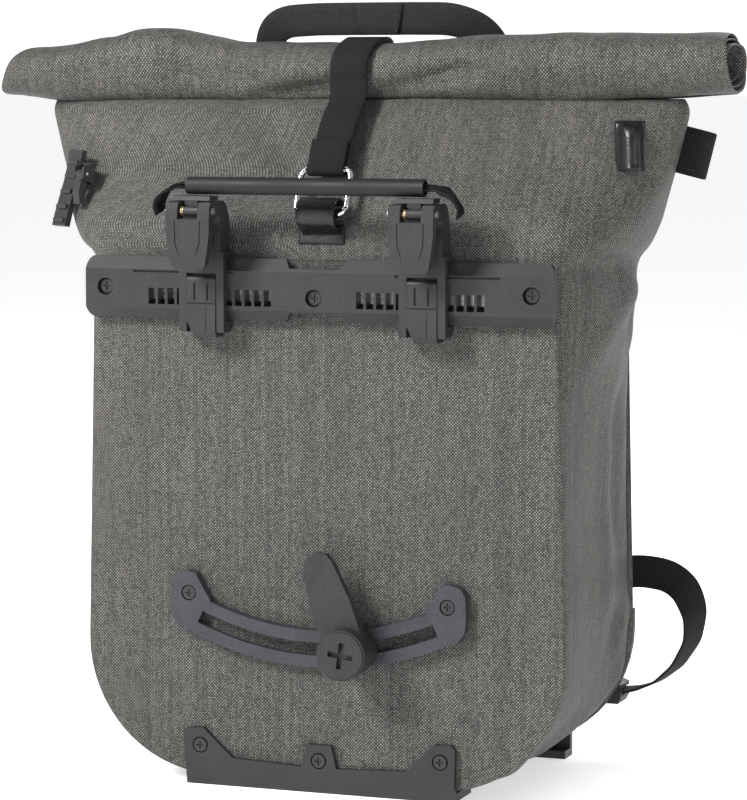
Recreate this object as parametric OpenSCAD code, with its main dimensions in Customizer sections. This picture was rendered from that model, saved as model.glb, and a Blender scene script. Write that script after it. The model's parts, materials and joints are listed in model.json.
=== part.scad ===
/* [Bag] */
// Width of the mounting panel at its top
panel_top_w = 316; // [300:2:340]
// Width of the mounting panel low down, where it is widest
panel_low_w = 328; // [320:2:344]
// Depth of the bag between its two large panels
bag_depth = 162; // [150:2:190]
// Height where the flat panels end and the collar starts
panel_top_z = 345; // [345:1:347]
// Height of the lowest fabric above the ground
fabric_floor_z = 6; // [4:1:8]
// Radius of the panels' bottom corners
corner_r = 86; // [70:2:90]
// Thickness of the coated fabric
fabric_t = 2; // [1.5:0.5:2.5]

/* [Rolled closure] */
// Length of the rolled mouth
roll_len = 510; // [490:2:520]
// Height of the roll's centre
roll_z = 466; // [464:1:470]
// Depth of the roll, front to back
roll_d = 52; // [46:2:54]
// Height of the roll
roll_h = 48; // [44:2:50]
// Width of all the webbing
webbing_w = 25; // [20:1:26]

/* [Mounting rail] */
// Length of the rail
rail_len = 318; // [300:2:320]
// Distance from the middle to each hook
hook_x = 75; // [70:1:80]
// Diameter of the largest rack tube that the hooks take
rack_tube_d = 16; // [14:0.5:16]
// Distance from the middle to each end screw of the rail
rail_screw_x = 145; // [140:1:147]
// Pitch of the rail's locating slots
slot_pitch = 6.7; // [6.5:0.1:7]

/* [Lower track] */
// Radius of the track's slot
track_r = 204; // [200:1:210]
// Height of the centre that the track curves about
track_centre_z = 299; // [297:1:303]
// Place of the lower hook along the track, in degrees from the lowest point
lower_hook_at = 7.6; // [-12:0.1:12]
// Lean of the lower hook, in degrees
lower_hook_lean = 18; // [-60:1:60]

/* [Hidden] */
$fn = 48;

gap = 0.3;                       // clearance between pieces that only lie against each other
front_reach = 41;                // from the mounting face out to the hooks' fingers
back_reach = 32;                 // from the far panel out to the shoulder pads
face_y = -(bag_depth + back_reach - front_reach) / 2;

// Profile of the rail: depth from the mounting face, and heights
rail_z0 = 306;
rail_z1 = 346;
rail_front = -13;
rail_lip = -5;
rail_end_screw_z = 326.3;
rail_mid_screw_z = 321.5;
slot_z0 = 315.5;
slot_z1 = 326;
slot_count = 13;
slot_first_x = 31.5;

// Hook: seat for the rack tube, pivot of its lever
seat_y = -26.6;
seat_z = 366;
seat_r = rack_tube_d / 2;
hook_w = 30;
lever_w = 13.4;
pin_y = -35.6;
pin_z = 377;
pin_r = 1.5;
hook_top_z = 383;
clip_axis_y = -16.2;
clip_axis_z = 332;

// Handle over the hooks
tube_y = -26.5;
tube_z = 393;
tube_r = 5.6;
tube_bore_r = 4.4;
tube_half = 80;

// Lower track
track_t = 9;
track_band = 12;                 // half the band's height
track_slot = 4.2;                // half the slot's width
track_screw_x = 89;
track_screw_z = 127;
lower_x = track_r * sin(lower_hook_at);
lower_z = track_centre_z - track_r * cos(lower_hook_at);

// Bumper screws: [x, z]
bumper_screw_at = [[-83, 26], [0, 21], [83, 26]];

// Closing ring
ring_axis_y = -1;
ring_axis_z = 375;

screw_r = 2;                     // shank of every case screw
hole_r = 2.2;                    // hole that a shank passes through
nut_bore_r = 2.05;

// ---------- helpers ----------
// Turns a drawing in depth and height into a solid w wide, centred on x
module across(x, w) translate([x - w / 2, 0, 0]) rotate([90, 0, 90]) linear_extrude(w) children();
// Turns a drawing in width and height into a solid from depth y0 to y1
module deep(y0, y1) translate([0, y1, 0]) rotate([90, 0, 0]) linear_extrude(y1 - y0) children();
// Moves a solid drawn from the mounting face into the part's own frame
module placed() translate([0, face_y, 0]) children();
// A hole or pin along the depth, from y0 to y1
module depth_rod(x, z, r, y0, y1) translate([x, y1, z]) rotate([90, 0, 0]) cylinder(r = r, h = y1 - y0);
// A hole or pin across the width, centred on x
module width_rod(x, y, z, r, w) translate([x - w / 2, y, z]) rotate([0, 90, 0]) cylinder(r = r, h = w);

function arc(cx, cy, r, a0, a1, n = 12) =
  [for (i = [0:n]) let (a = a0 + (a1 - a0) * i / n) [cx + r * cos(a), cy + r * sin(a)]];
function squared_off(cx, cy, a, b, n, t) =
  let (c = cos(t), s = sin(t)) [cx + a * sign(c) * pow(abs(c), 2 / n), cy + b * sign(s) * pow(abs(s), 2 / n)];
function superellipse(cx, cy, a, b, n, steps = 48) =
  [for (i = [0:steps - 1]) squared_off(cx, cy, a, b, n, 360 * i / steps)];
function unit(v) = v / norm(v);
function reversed(v) = [for (i = [len(v) - 1:-1:0]) v[i]];
// Direction of a path at point i
function along(p, i) = unit(p[min(i + 1, len(p) - 1)] - p[max(i - 1, 0)]);
// Outline of a band of thickness t that follows a flat path
function band(p, t) =
  let (side = [for (i = [0:len(p) - 1]) let (d = along(p, i)) [-d[1], d[0]] * t / 2])
  concat([for (i = [0:len(p) - 1]) p[i] + side[i]], reversed([for (i = [0:len(p) - 1]) p[i] - side[i]]));
// Panel outline, shrunk by inset
function panel_outline(inset) =
  let (r = corner_r - inset, low = panel_low_w / 2 - inset, cz = fabric_floor_z + corner_r,
       top = panel_top_w / 2 - inset)
  concat([[top, panel_top_z]], [[-top, panel_top_z]],
         arc(-low + r, cz, r, 180, 270), arc(low - r, cz, r, 270, 360));

// Solid through a stack of equal rings of points, closed by its two ends
module loft(rings) {
  n = len(rings[0]);
  m = len(rings);
  pts = [for (r = rings) each r];
  sides = [for (j = [0:m - 2], i = [0:n - 1]) let (k = (i + 1) % n)
    each [[j * n + i, j * n + k, (j + 1) * n + k], [j * n + i, (j + 1) * n + k, (j + 1) * n + i]]];
  polyhedron(pts, concat(sides, [[for (i = [n - 1:-1:0]) i]], [[for (i = [0:n - 1]) (m - 1) * n + i]]));
}
// Flat webbing, w wide and t thick, along 3-D points p, with its width direction wide[i] at each
module ribbon(p, wide, w, t) {
  loft([for (i = [0:len(p) - 1])
    let (d = along(p, i), a = unit(wide[i] - d * (wide[i] * d)), b = cross(d, a))
    [p[i] + a * w / 2 + b * t / 2, p[i] - a * w / 2 + b * t / 2,
     p[i] - a * w / 2 - b * t / 2, p[i] + a * w / 2 - b * t / 2]]);
}
// Pan-head screw along the depth, its head's underside at depth y, pointing into the bag
module case_screw(x, z, y, len) {
  difference() {
    union() {
      depth_rod(x, z, 4.4, y - 2.4, y);
      depth_rod(x, z, screw_r, y - 0.5, y + len);
    }
    for (a = [0, 90]) translate([x, y - 2, z]) rotate([0, a, 0]) cube([5, 1.6, 1.1], center = true);
  }
}
module t_nut(x, z, y) {
  difference() {
    union() {
      depth_rod(x, z, 7, y, y + 1.5);
      depth_rod(x, z, 4, y + 1, y + 6);
    }
    depth_rod(x, z, nut_bore_r, y - 1, y + 7);
  }
}
rail_screw_at = [[-rail_screw_x, rail_end_screw_z], [0, rail_mid_screw_z], [rail_screw_x, rail_end_screw_z]];
track_screw_at = [[-track_screw_x, track_screw_z], [track_screw_x, track_screw_z]];
all_screws = concat(rail_screw_at, track_screw_at, bumper_screw_at);
board_y = fabric_t + gap;        // front of the stiffener board
board_t = 2;
nut_y = board_y + board_t + gap; // front of the nuts inside the bag

// ---------- bag ----------
module back_panel() color([0.36, 0.34, 0.32]) placed() difference() {
  deep(0, fabric_t) polygon(panel_outline(0));
  for (s = all_screws) depth_rod(s[0], s[1], hole_r, -1, fabric_t + 1);
}
module front_panel() color([0.36, 0.34, 0.32]) placed()
  deep(bag_depth - fabric_t, bag_depth) polygon(panel_outline(0));
// The gussets swell between the two panels: how far, by height and by depth
side_swell = 27;
function swell_at_height(z) = lookup(z, [[92, 0], [130, 0.1], [180, 0.12], [230, 0.25], [270, 0.5], [300, 0.78],
  [325, 0.98], [345, 1]]);
function swell_at_depth(y) = 1 - pow((y - bag_depth / 2) / (bag_depth / 2), 2);
side_z = [345, 325, 300, 270, 230, 180, 130];
// Half of the band's outline, from its top down to the middle of the floor
function gusset_side(inset, y) =
  let (r = corner_r - inset, cx = panel_low_w / 2 - corner_r, cz = fabric_floor_z + corner_r,
       top = panel_top_w / 2 - inset, low = panel_low_w / 2 - inset)
  concat([for (z = side_z) let (t = (panel_top_z - z) / (panel_top_z - cz))
           [top + (low - top) * t + side_swell * swell_at_height(z) * swell_at_depth(y), z]],
         arc(cx, cz, r, 0, -90));
module gusset_band() color([0.37, 0.35, 0.33]) placed() {
  steps = 8;
  y0 = fabric_t;
  y1 = bag_depth - fabric_t;
  loft([for (j = [0:steps])
    let (y = y0 + (y1 - y0) * j / steps, out = gusset_side(1, y), in = gusset_side(1 + fabric_t, y))
    [for (q = concat(out, [for (k = reversed(out)) [-k[0], k[1]]], [for (k = in) [-k[0], k[1]]], reversed(in)))
      [q[0], y, q[1]]]]);
}
// Collar: a stack of rings from the panels' top edge, t = 0, to the mouth below the roll, t = 1
collar_h = roll_z - roll_h / 2 - 1 - panel_top_z;
mouth_half_w = 222;
// Points spread over a unit square's edge
square_edge = concat([for (i = [-10:9]) [i / 10, -1]], [for (i = [-4:3]) [1, i / 4]],
                     [for (i = [-10:9]) [-i / 10, 1]], [for (i = [-4:3]) [-1, -i / 4]]);
function collar_ring(t, inset) =
  let (near = 52 * pow(t, 1.5) + inset, far_y = bag_depth - 64 * pow(t, 1.4) - inset,
       mid = (near + far_y) / 2, b = (far_y - near) / 2,
       a = panel_top_w / 2 + (mouth_half_w - panel_top_w / 2) * pow(t, 0.8) - inset,
       n = 2.6 + 17 * pow(1 - t, 5), swell = side_swell / a * (1 - t))
  [for (q = square_edge) let (k = pow(pow(abs(q[0]), n) + pow(abs(q[1]), n), -1 / n), v = q[1] * k)
    [a * q[0] * k * (1 + swell * (1 - v * v)), mid + b * v, panel_top_z + gap + collar_h * t]];
collar_steps = 9;
module collar() color([0.36, 0.34, 0.32]) placed() {
  n = len(square_edge);
  m = collar_steps + 1;
  outer = [for (j = [0:collar_steps]) each collar_ring(j / collar_steps, 0)];
  inner = [for (j = [0:collar_steps]) each collar_ring(j / collar_steps, fabric_t)];
  skin = [for (j = [0:m - 2], i = [0:n - 1]) let (k = (i + 1) % n)
    each [[j * n + i, (j + 1) * n + k, j * n + k], [j * n + i, (j + 1) * n + i, (j + 1) * n + k]]];
  lining = [for (f = skin) [f[0] + m * n, f[2] + m * n, f[1] + m * n]];
  rims = [for (i = [0:n - 1]) let (k = (i + 1) % n, top = (m - 1) * n)
    each [[i, k, m * n + k], [i, m * n + k, m * n + i],
          [top + i, m * n + top + k, top + k], [top + i, m * n + top + i, m * n + top + k]]];
  polyhedron(concat(outer, inner), concat(skin, lining, rims));
}
roll_y = 75;
roll_n = 2.4;                    // squareness of the roll's section
module roll_top() color([0.37, 0.35, 0.33]) placed()
  across(0, roll_len) polygon(superellipse(roll_y, roll_z, roll_d / 2, roll_h / 2, roll_n));
module stiffener_board() color("dimgray") placed() difference() {
  deep(board_y, board_y + board_t) polygon(panel_outline(9));
  for (s = all_screws) depth_rod(s[0], s[1], hole_r, 0, nut_y);
}

// ---------- rolled closure ----------
strap_t = 1.6;
strap_off = 1.5;                 // from the roll's surface to the middle of the strap
strap_over_roll = concat(
  [for (a = [40:10:190]) squared_off(roll_y, roll_z, roll_d / 2 + strap_off, roll_h / 2 + strap_off, roll_n, a)],
  [[40, 446], [29, 434], [20, 420], [17.5, 413.5]]);
module closure_strap() color([0.06, 0.06, 0.07]) placed()
  across(0, webbing_w) polygon(band(strap_over_roll, strap_t));
// End of the strap, folded round the ring's top bar
ring_top_y = 12;
ring_top_z = 403;
module strap_end() color([0.06, 0.06, 0.07]) placed() across(0, webbing_w)
  polygon(band(concat([[17, 411]], arc(ring_top_y, ring_top_z, 3.6, 35, -215, 16), [[14.5, 409]]), strap_t));
module closure_ring() color("silver") placed() {
  lean = atan2(ring_top_y - ring_axis_y, ring_top_z - ring_axis_z);
  bar = 2.2;
  reach = norm([ring_top_y - ring_axis_y, ring_top_z - ring_axis_z]);
  translate([0, ring_axis_y, ring_axis_z]) rotate([-lean, 0, 0]) {
    for (s = [-1, 1]) translate([s * 17, 0, 0]) cylinder(r = bar, h = reach);
    for (h = [0, reach]) translate([-17, 0, h]) rotate([0, 90, 0]) cylinder(r = bar, h = 34);
    for (s = [-1, 1], h = [0, reach]) translate([s * 17, 0, h]) sphere(r = bar);
  }
}
module ring_loop() color([0.04, 0.04, 0.05]) placed() {
  difference() {
    across(0, 27) union() {
      translate([ring_axis_y, ring_axis_z]) circle(r = 8);
      polygon([[1.6, 366], [5, 366], [10, 383], [2, 383]]);
    }
    width_rod(0, ring_axis_y, ring_axis_z, 6.2, 40);
  }
  across(0, 30) polygon([[1.6, 360.5], [3.0, 360.5], [5, 366.8], [1.6, 366.8]]);
}
band_t = 2.2;
grab_path = concat(arc(-62, 104, 14, 180, 262, 8), arc(62, 104, 14, 278, 360, 8));
module grab_handle() color([0.06, 0.06, 0.07]) placed() {
  translate([0, 0, 491.5]) linear_extrude(webbing_w - 6) polygon(band(grab_path, band_t));
  for (s = [-1, 1]) across(s * 71, 20)
    polygon(band([[115.5, 424], [107, 434], [103.8, 442], [103.6, 450], [103.6, 503]], band_t));
}
module sleeve_loop() color([0.05, 0.05, 0.06]) placed()
  translate([192, 46.4, 403]) rotate([0, 0, 26]) rotate([-8, 0, 0]) difference() {
    translate([0, -4, 0]) linear_extrude(31) union() {
      circle(r = 6.5);
      translate([-9.5, 1]) square([19, 3]);
    }
    translate([0, -4, -3]) cylinder(r = 5, h = 40);
    translate([-15, 0, -3]) cube([30, 10, 40]);
  }
module webbing_tab() color([0.06, 0.06, 0.07]) placed()
  translate([211, 84, 401]) rotate([0, 14, 0]) difference() {
    cube([19, 9, 30]);
    translate([-1, 2, -1]) cube([17.5, 5, 32]);
  }

// ---------- mounting rail ----------
rail_profile = [[-0.01, 316], [rail_lip, 316], [rail_lip, rail_z0], [rail_lip - 2.5, rail_z0], [rail_front, 313],
                [rail_front, 338], [rail_lip - 2.5, rail_z1], [rail_lip, rail_z1], [rail_lip, 336], [-0.01, 336]];
module slot_row() for (s = [-1, 1], i = [0:slot_count - 1])
  translate([s * (slot_first_x + i * slot_pitch), 0]) children();
module mounting_rail() color([0.07, 0.07, 0.08]) placed() difference() {
  intersection() {
    across(0, rail_len) polygon(rail_profile);
    deep(-20, 2) polygon(superellipse(0, (rail_z0 + rail_z1) / 2, rail_len / 2, 24, 9, 96));
  }
  deep(-20, -2) polygon([[-21, rail_z1 + 1], [-17, 340], [17, 340], [21, rail_z1 + 1]]);
  deep(-20, -2) polygon([[-21, rail_z0 - 1], [-17, 311.5], [17, 311.5], [21, rail_z0 - 1]]);
  deep(-20, -4) slot_row() translate([-2.5, slot_z0]) square([5, slot_z1 - slot_z0]);
  deep(-4.6, 1) translate([-124, 318]) square([248, 15.5]);
  for (s = [-1, 1]) deep(-20, -11.4) translate([s * 90 - 35, 336]) square([70, 1.4]);
  for (s = rail_screw_at) {
    depth_rod(s[0], s[1], hole_r, -20, 1);
    depth_rod(s[0], s[1], 5.6, -20, -8);
  }
}
module rail_insert() color("silver") placed() difference() {
  deep(-4.2, -1) translate([-122, 318.4]) square([244, 14.7]);
  depth_rod(0, rail_mid_screw_z, hole_r, -6, 1);
}
module rail_screws() color("black") placed() for (s = rail_screw_at) case_screw(s[0], s[1], -8, 17);
module rail_nuts() color("silver") placed() for (s = rail_screw_at) t_nut(s[0], s[1], nut_y);

// ---------- top hooks ----------
// Side view of one cheek: neck, crown and finger round the rack tube's open seat
finger_y = seat_y - seat_r;
cheek_outline = [[-18.4, 346.4], [seat_y + seat_r, 351], [seat_y + seat_r, seat_z], [finger_y, seat_z],
  [finger_y, 344], [-36, 340], [-38.4, 340], [-40, 344], [-41, 352], [-41, 372], [-40.4, 379], [-38, 382.4],
  [-34, hook_top_z], [-13, hook_top_z], [-8, 380], [-4, 372], [-3, 360], [-3, 346.4]];
finger_front = [[-15, 384], [-15, 364], [-13.6, 352], [-11.6, 343], [-9.5, 340], [9.5, 340], [11.6, 343],
                [13.6, 352], [15, 364], [15, 384]];
module hook_body(x) color([0.07, 0.07, 0.08]) placed() difference() {
  union() {
    intersection() {
      across(x, hook_w) polygon(cheek_outline);
      deep(-45, -20) translate([x, 0]) polygon(finger_front);
    }
    intersection() {
      across(x, 27) polygon(cheek_outline);
      deep(-20.5, 0) translate([x - 15, 340]) square([30, 50]);
    }
    // bracket round the rail
    across(x, 31) polygon([[-18.4, 298.5], [-18.4, 350], [-2.4, 350], [-2.4, 340], [-4.6, 340], [-4.6, 346.4],
      [-13.4, 346.4], [-13.4, 305.6], [-4.6, 305.6], [-4.6, 312], [-2.4, 312], [-2.4, 302], [-6, 298.5]]);
  }
  width_rod(x, seat_y, seat_z, seat_r, 40);
  // slot in which the lever swings, open at the back and top
  across(x, 14) polygon([[-38.6, 400], [-38.6, 346], [-36, 343.5], [-20, 343.5], [-18, 352], [-0.5, 352], [-0.5, 400]]);
  // window in front of the lever's hub and spring
  across(x, 14) polygon([[-45, 372], [-45, 400], [-20, 400], [-20, 372]]);
  // raised shield on the finger, cut round by a groove
  for (s = [-1, 1]) deep(-45, -40.4) translate([x, 0])
    polygon([[s * 9.2, 371], [s * 8.4, 371], [s * 8, 357], [s * 5, 348], [s * 5.8, 347.6], [s * 8.8, 357]]);
  width_rod(x, pin_y, pin_z, pin_r + 0.02, 40);
  // window for the clip
  deep(-20, -13.3) translate([x - 10.3, 297]) square([20.6, 39.5]);
  width_rod(x, clip_axis_y, clip_axis_z, 1.02, 25.5);
}
module hook_pin(x) color("silver") placed() {
  width_rod(x, pin_y, pin_z, pin_r, hook_w + 0.8);
  for (s = [-1, 1]) width_rod(x + s * (hook_w / 2 + 0.8), pin_y, pin_z, 2.4, 0.8);
}
// Lever: wraps over and behind the rack tube, with its nose below it, and wings on top for the handle
lever_arm = concat([[pin_y - 2.4, pin_z + 2]], arc(seat_y, seat_z, seat_r + 6, 112, -62, 20),
                   arc(seat_y, seat_z, seat_r + 0.1, -70, 118, 24), [[pin_y - 2, pin_z - 2.4]]);
module hook_lever(x) color([0.08, 0.08, 0.09]) placed() difference() {
  union() {
    across(x, lever_w) polygon(lever_arm);
    width_rod(x, pin_y, pin_z, 3.1, lever_w);
    across(x, 9) polygon([[-34, 378], [-33.6, 386.4], [-20.6, 386.4], [-24, 378]]);
    across(x, 25.4) polygon([[-34.2, 383.6], [-33.6, 386.4], [-20.6, 386.4], [-20.6, 383.6]]);
  }
  width_rod(x, pin_y, pin_z, pin_r + 0.05, 40);
  // room for the torsion spring
  width_rod(x - 5.4, pin_y, pin_z, 4.4, 4.2);
}
module lever_spring(x) color([0.72, 0.55, 0.28]) placed()
  for (i = [0:2]) translate([x - 6.25 + i * 1.15, pin_y, pin_z]) rotate([0, 90, 0])
    rotate_extrude($fn = 32) translate([2.6, 0]) circle(r = 0.55, $fn = 16);
// Clip that locks a hook on the rail
module rail_clip(x) color([0.08, 0.08, 0.09]) placed() difference() {
  union() {
    width_rod(x, clip_axis_y, clip_axis_z, 2.6, 20);
    intersection() {
      across(x, 20) polygon([[-18.8, clip_axis_z], [-19.4, 299], [-17.3, 295.4], [-6, 295.4], [-4, 296.9],
                             [-13.9, 298.2], [-14.2, 299], [-14.2, clip_axis_z]]);
      deep(-25, 0) translate([x, 0]) polygon([[-10, 340], [-10, 306], [-4.5, 295], [10, 295], [10, 340]]);
    }
  }
  deep(-25, -18.9) translate([x + 3.2, 295]) square([0.7, 20]);
  for (s = [-1, 1]) deep(-20, -17.8) translate([x + s * 4.5 - 0.7, 319]) square([1.4, 11]);
  deep(-20, -18.2) translate([x - 10, 316.6]) square([20, 1]);
  width_rod(x, clip_axis_y, clip_axis_z, 1.05, 40);
}
module clip_pin(x) color("silver") placed() width_rod(x, clip_axis_y, clip_axis_z, 1, 25);

// ---------- carrying handle ----------
module handle_tube() color([0.1, 0.1, 0.1]) placed() difference() {
  width_rod(0, tube_y, tube_z, tube_r, 2 * tube_half);
  width_rod(0, tube_y, tube_z, tube_bore_r, 2 * tube_half + 2);
}
module handle_webbing(s) color([0.06, 0.06, 0.07]) placed() {
  inner = [[30, tube_z], [93, tube_z]];
  outer = concat(arc(92, tube_z - 10, 10, 90, 0, 8), [[102, 379], [101.4, 375]]);
  mirror([s < 0 ? 1 : 0, 0, 0]) {
    deep(tube_y - 3.2, tube_y + 3.2) polygon(band(inner, 2.4));
    deep(tube_y - 5.6, tube_y + 6.4) polygon(band(outer, 2.4));
  }
}

// ---------- lower track and hook ----------
// Part of a ring about the track's centre: half as wide as half_w, over half_a degrees each side
module track_sector(half_w, half_a, y0, y1) intersection() {
  difference() {
    depth_rod(0, track_centre_z, track_r + half_w, y0, y1, $fn = 360);
    depth_rod(0, track_centre_z, track_r - half_w, y0 - 1, y1 + 1, $fn = 360);
  }
  deep(y0 - 1, y1 + 1) polygon([[0, track_centre_z], [-300 * tan(half_a), track_centre_z - 300],
                                [300 * tan(half_a), track_centre_z - 300]]);
}
track_ear = [[88.2, 102.1], [96, 104.5], [100.5, 111], [101.5, 120], [101, 134], [98, 139], [90, 141.5], [84, 140],
             [79, 131], [74.5, 124], [72, 108]];
module lower_track() color([0.3, 0.31, 0.34]) placed() difference() {
  union() {
    track_sector(track_band, 24.3, -track_t, -0.01);
    for (s = [-1, 1]) deep(-track_t, -0.01) polygon([for (p = track_ear) [s * p[0], p[1]]]);
  }
  track_sector(track_slot, 23.4, -20, 1);
  // rebate behind the slot, for the slider's foot
  track_sector(8, 24, -4.4, 1);
  for (s = track_screw_at) {
    depth_rod(s[0], s[1], hole_r, -20, 1);
    depth_rod(s[0], s[1], 5.2, -20, -6);
  }
}
module track_screws() color("black") placed() for (s = track_screw_at) case_screw(s[0], s[1], -6, 15);
module track_nuts() color("silver") placed() for (s = track_screw_at) t_nut(s[0], s[1], nut_y);
module track_slider() color([0.08, 0.08, 0.09]) placed() {
  depth_rod(lower_x, lower_z, 7.4, -4.1, -0.6);
  depth_rod(lower_x, lower_z, 3.9, -9, -4);
  depth_rod(lower_x, lower_z, 3, -28.5, -8.9);
}
tongue = [[-13.5, 0], [-14.2, 30], [-12.6, 56], [-9, 64], [0, 67], [6, 64.5], [9, 58], [13, 32], [13.5, 0]];
module lower_hook() color([0.09, 0.09, 0.1]) placed() difference() {
  union() {
    depth_rod(lower_x, lower_z, 15, -27, -9.3);
    translate([lower_x, 0, lower_z]) rotate([0, -lower_hook_lean, 0]) intersection() {
      deep(-30, -10) polygon(tongue);
      across(0, 40) polygon([[-26.6, -20], [-26.6, 56], [-25, 68], [-21, 68], [-21, 30], [-18, 12], [-14, -20]]);
    }
  }
  depth_rod(lower_x, lower_z, 3.1, -40, 1);
}
module clamp_knob() color([0.08, 0.08, 0.09]) placed() difference() {
  union() {
    depth_rod(lower_x, lower_z, 16.3, -36.4, -27.3);
    depth_rod(lower_x, lower_z, 15, -37.4, -36);
  }
  for (a = [0, 90]) translate([lower_x, -37, lower_z]) rotate([0, a + 8, 0]) cube([17, 6, 3.4], center = true);
  depth_rod(lower_x, lower_z, 3.1, -30, -20);
}

// ---------- bumper ----------
bumper_outline = [[-95, 34], [-92, 37], [-81, 37.5], [-60, 18.5], [-12, 16.5], [-8.5, 31.5], [8.5, 31.5],
                  [12, 16.5], [60, 18.5], [78, 36.5], [90, 37.5], [93, 34.5], [92.5, 0], [-92.5, 0]];
module bumper() color([0.16, 0.16, 0.16]) placed() difference() {
  union() {
    deep(-5, -0.3) polygon(bumper_outline);
    across(0, 185) polygon([[-4.9, 0], [30, 0], [30, 2], [26, 5.4], [-0.2, 5.4], [-4.9, 5.4]]);
  }
  for (s = bumper_screw_at) {
    depth_rod(s[0], s[1], hole_r, -20, 1);
    depth_rod(s[0], s[1], 5.4, -20, -3);
  }
}
module bumper_screws() color("black") placed() for (s = bumper_screw_at) case_screw(s[0], s[1], -3, 12);
module bumper_nuts() color("silver") placed() for (s = bumper_screw_at) t_nut(s[0], s[1], nut_y);

// ---------- side clip ----------
// Clip on the bag's near left corner: a ribbed plate that turns with the corner, and a gate beside it
clip_x = -186;
clip_y = 29;
clip_turn = 33;
gate_x = 8.5;
gate_y = 0.5;
gate_z = 398;
plate_line = [[-7.5, 363], [-5, 372], [-1.5, 382], [2, 392], [4.5, 401], [7, 413]];
module on_corner() placed() translate([clip_x, clip_y, 0]) rotate([0, 0, -clip_turn]) children();
module side_clip_base() color([0.13, 0.13, 0.15]) on_corner() difference() {
  union() {
    across(-6, 16) polygon(band(plate_line, 4));
    for (p = [for (i = [0:4]) plate_line[i] + [-2.4, 3]]) translate([-12, p[0], p[1]]) cube([12, 3, 2.4]);
    for (x = [3.1, 13.9]) across(x, 2.4) polygon([[6, 405], [-2, 402.5], [-3, 395], [6, 391]]);
    translate([1.2, 4.2, 391]) cube([13.9, 2.4, 14]);
  }
  width_rod(gate_x, gate_y, gate_z, 1.05, 30);
}
module side_clip_gate() color([0.1, 0.1, 0.11]) on_corner() difference() {
  union() {
    width_rod(gate_x, gate_y, gate_z, 3, 7.8);
    across(gate_x, 7.8) polygon([[-2, gate_z], [2.2, gate_z], [1, 386], [-0.6, 379], [-4, 378], [-4.6, 386]]);
  }
  width_rod(gate_x, gate_y, gate_z, 1.05, 30);
}
module side_clip_pin() color("silver") on_corner() width_rod(gate_x, gate_y, gate_z, 1, 13);

// ---------- shoulder harness on the far panel ----------
far = bag_depth + gap;           // far panel's outer surface
plate_top = 104;
module lumbar_plate() color([0.06, 0.06, 0.07]) placed() union() {
  deep(far, far + 5) intersection() {
    polygon(concat([[panel_low_w / 2, plate_top], [-panel_low_w / 2, plate_top]],
                   arc(-panel_low_w / 2 + corner_r, fabric_floor_z + corner_r, corner_r, 180, 270),
                   arc(panel_low_w / 2 - corner_r, fabric_floor_z + corner_r, corner_r, 270, 360)));
    translate([-200, 0]) square([400, plate_top]);
  }
  for (s = [-1, 1]) translate([s * 108, 0, 0]) {
    deep(far, far + 5) translate([-12, 0]) square([24, 18]);
    deep(far - 12, far + 0.5) translate([-12, 0]) square([24, 5.4]);
  }
}
module lumbar_rivets() color("dimgray") placed() for (s = [-1, 1], z = [62, 92])
  depth_rod(s * 150, z, 3.5, far + 5.2, far + 7);
module pad_half(s) deep(far, far + 11) polygon([[s * 12, 116], [s * 112, 116], [s * 126, 135], [s * 122, 300],
  [s * 108, 326], [s * 12, 326]]);
module back_pads() color([0.1, 0.1, 0.1]) placed() for (s = [-1, 1]) pad_half(s);
module shoulder_yoke() color([0.06, 0.06, 0.07]) placed()
  deep(far, far + 12) polygon([[-86, 328], [-80, 342], [80, 342], [86, 328]]);
// Shoulder pad: [x, z, half width] down its middle line
pad_line = [[44, 336, 22], [46, 315, 25], [51, 292, 28], [57, 268, 30], [65, 244, 30.5], [75, 220, 30.5], [86, 198, 29],
            [97, 178, 26], [106, 162, 21], [112, 151, 16]];
pad_front = far + 12;
pad_t = back_reach - 12 - gap;
module shoulder_pad(s) color([0.09, 0.09, 0.09]) placed() mirror([s < 0 ? 1 : 0, 0, 0]) {
  left = [for (i = [0:len(pad_line) - 1]) let (d = along([for (p = pad_line) [p[0], p[1]]], i))
    [pad_line[i][0] + d[1] * pad_line[i][2], pad_line[i][1] - d[0] * pad_line[i][2]]];
  right = [for (i = [0:len(pad_line) - 1]) let (d = along([for (p = pad_line) [p[0], p[1]]], i))
    [pad_line[i][0] - d[1] * pad_line[i][2], pad_line[i][1] + d[0] * pad_line[i][2]]];
  deep(pad_front, pad_front + pad_t) polygon(concat(left, reversed(right)));
}
module strap_adjuster(s) color([0.05, 0.05, 0.06]) placed() mirror([s < 0 ? 1 : 0, 0, 0])
  translate([126, 0, 137]) rotate([0, -53, 0]) difference() {
    deep(pad_front + 1, pad_front + 8) translate([-17, -9]) square([34, 18]);
    for (z = [-5.5, 1.5]) deep(pad_front - 1, pad_front + 10) translate([-13, z]) square([26, 4]);
  }
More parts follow.
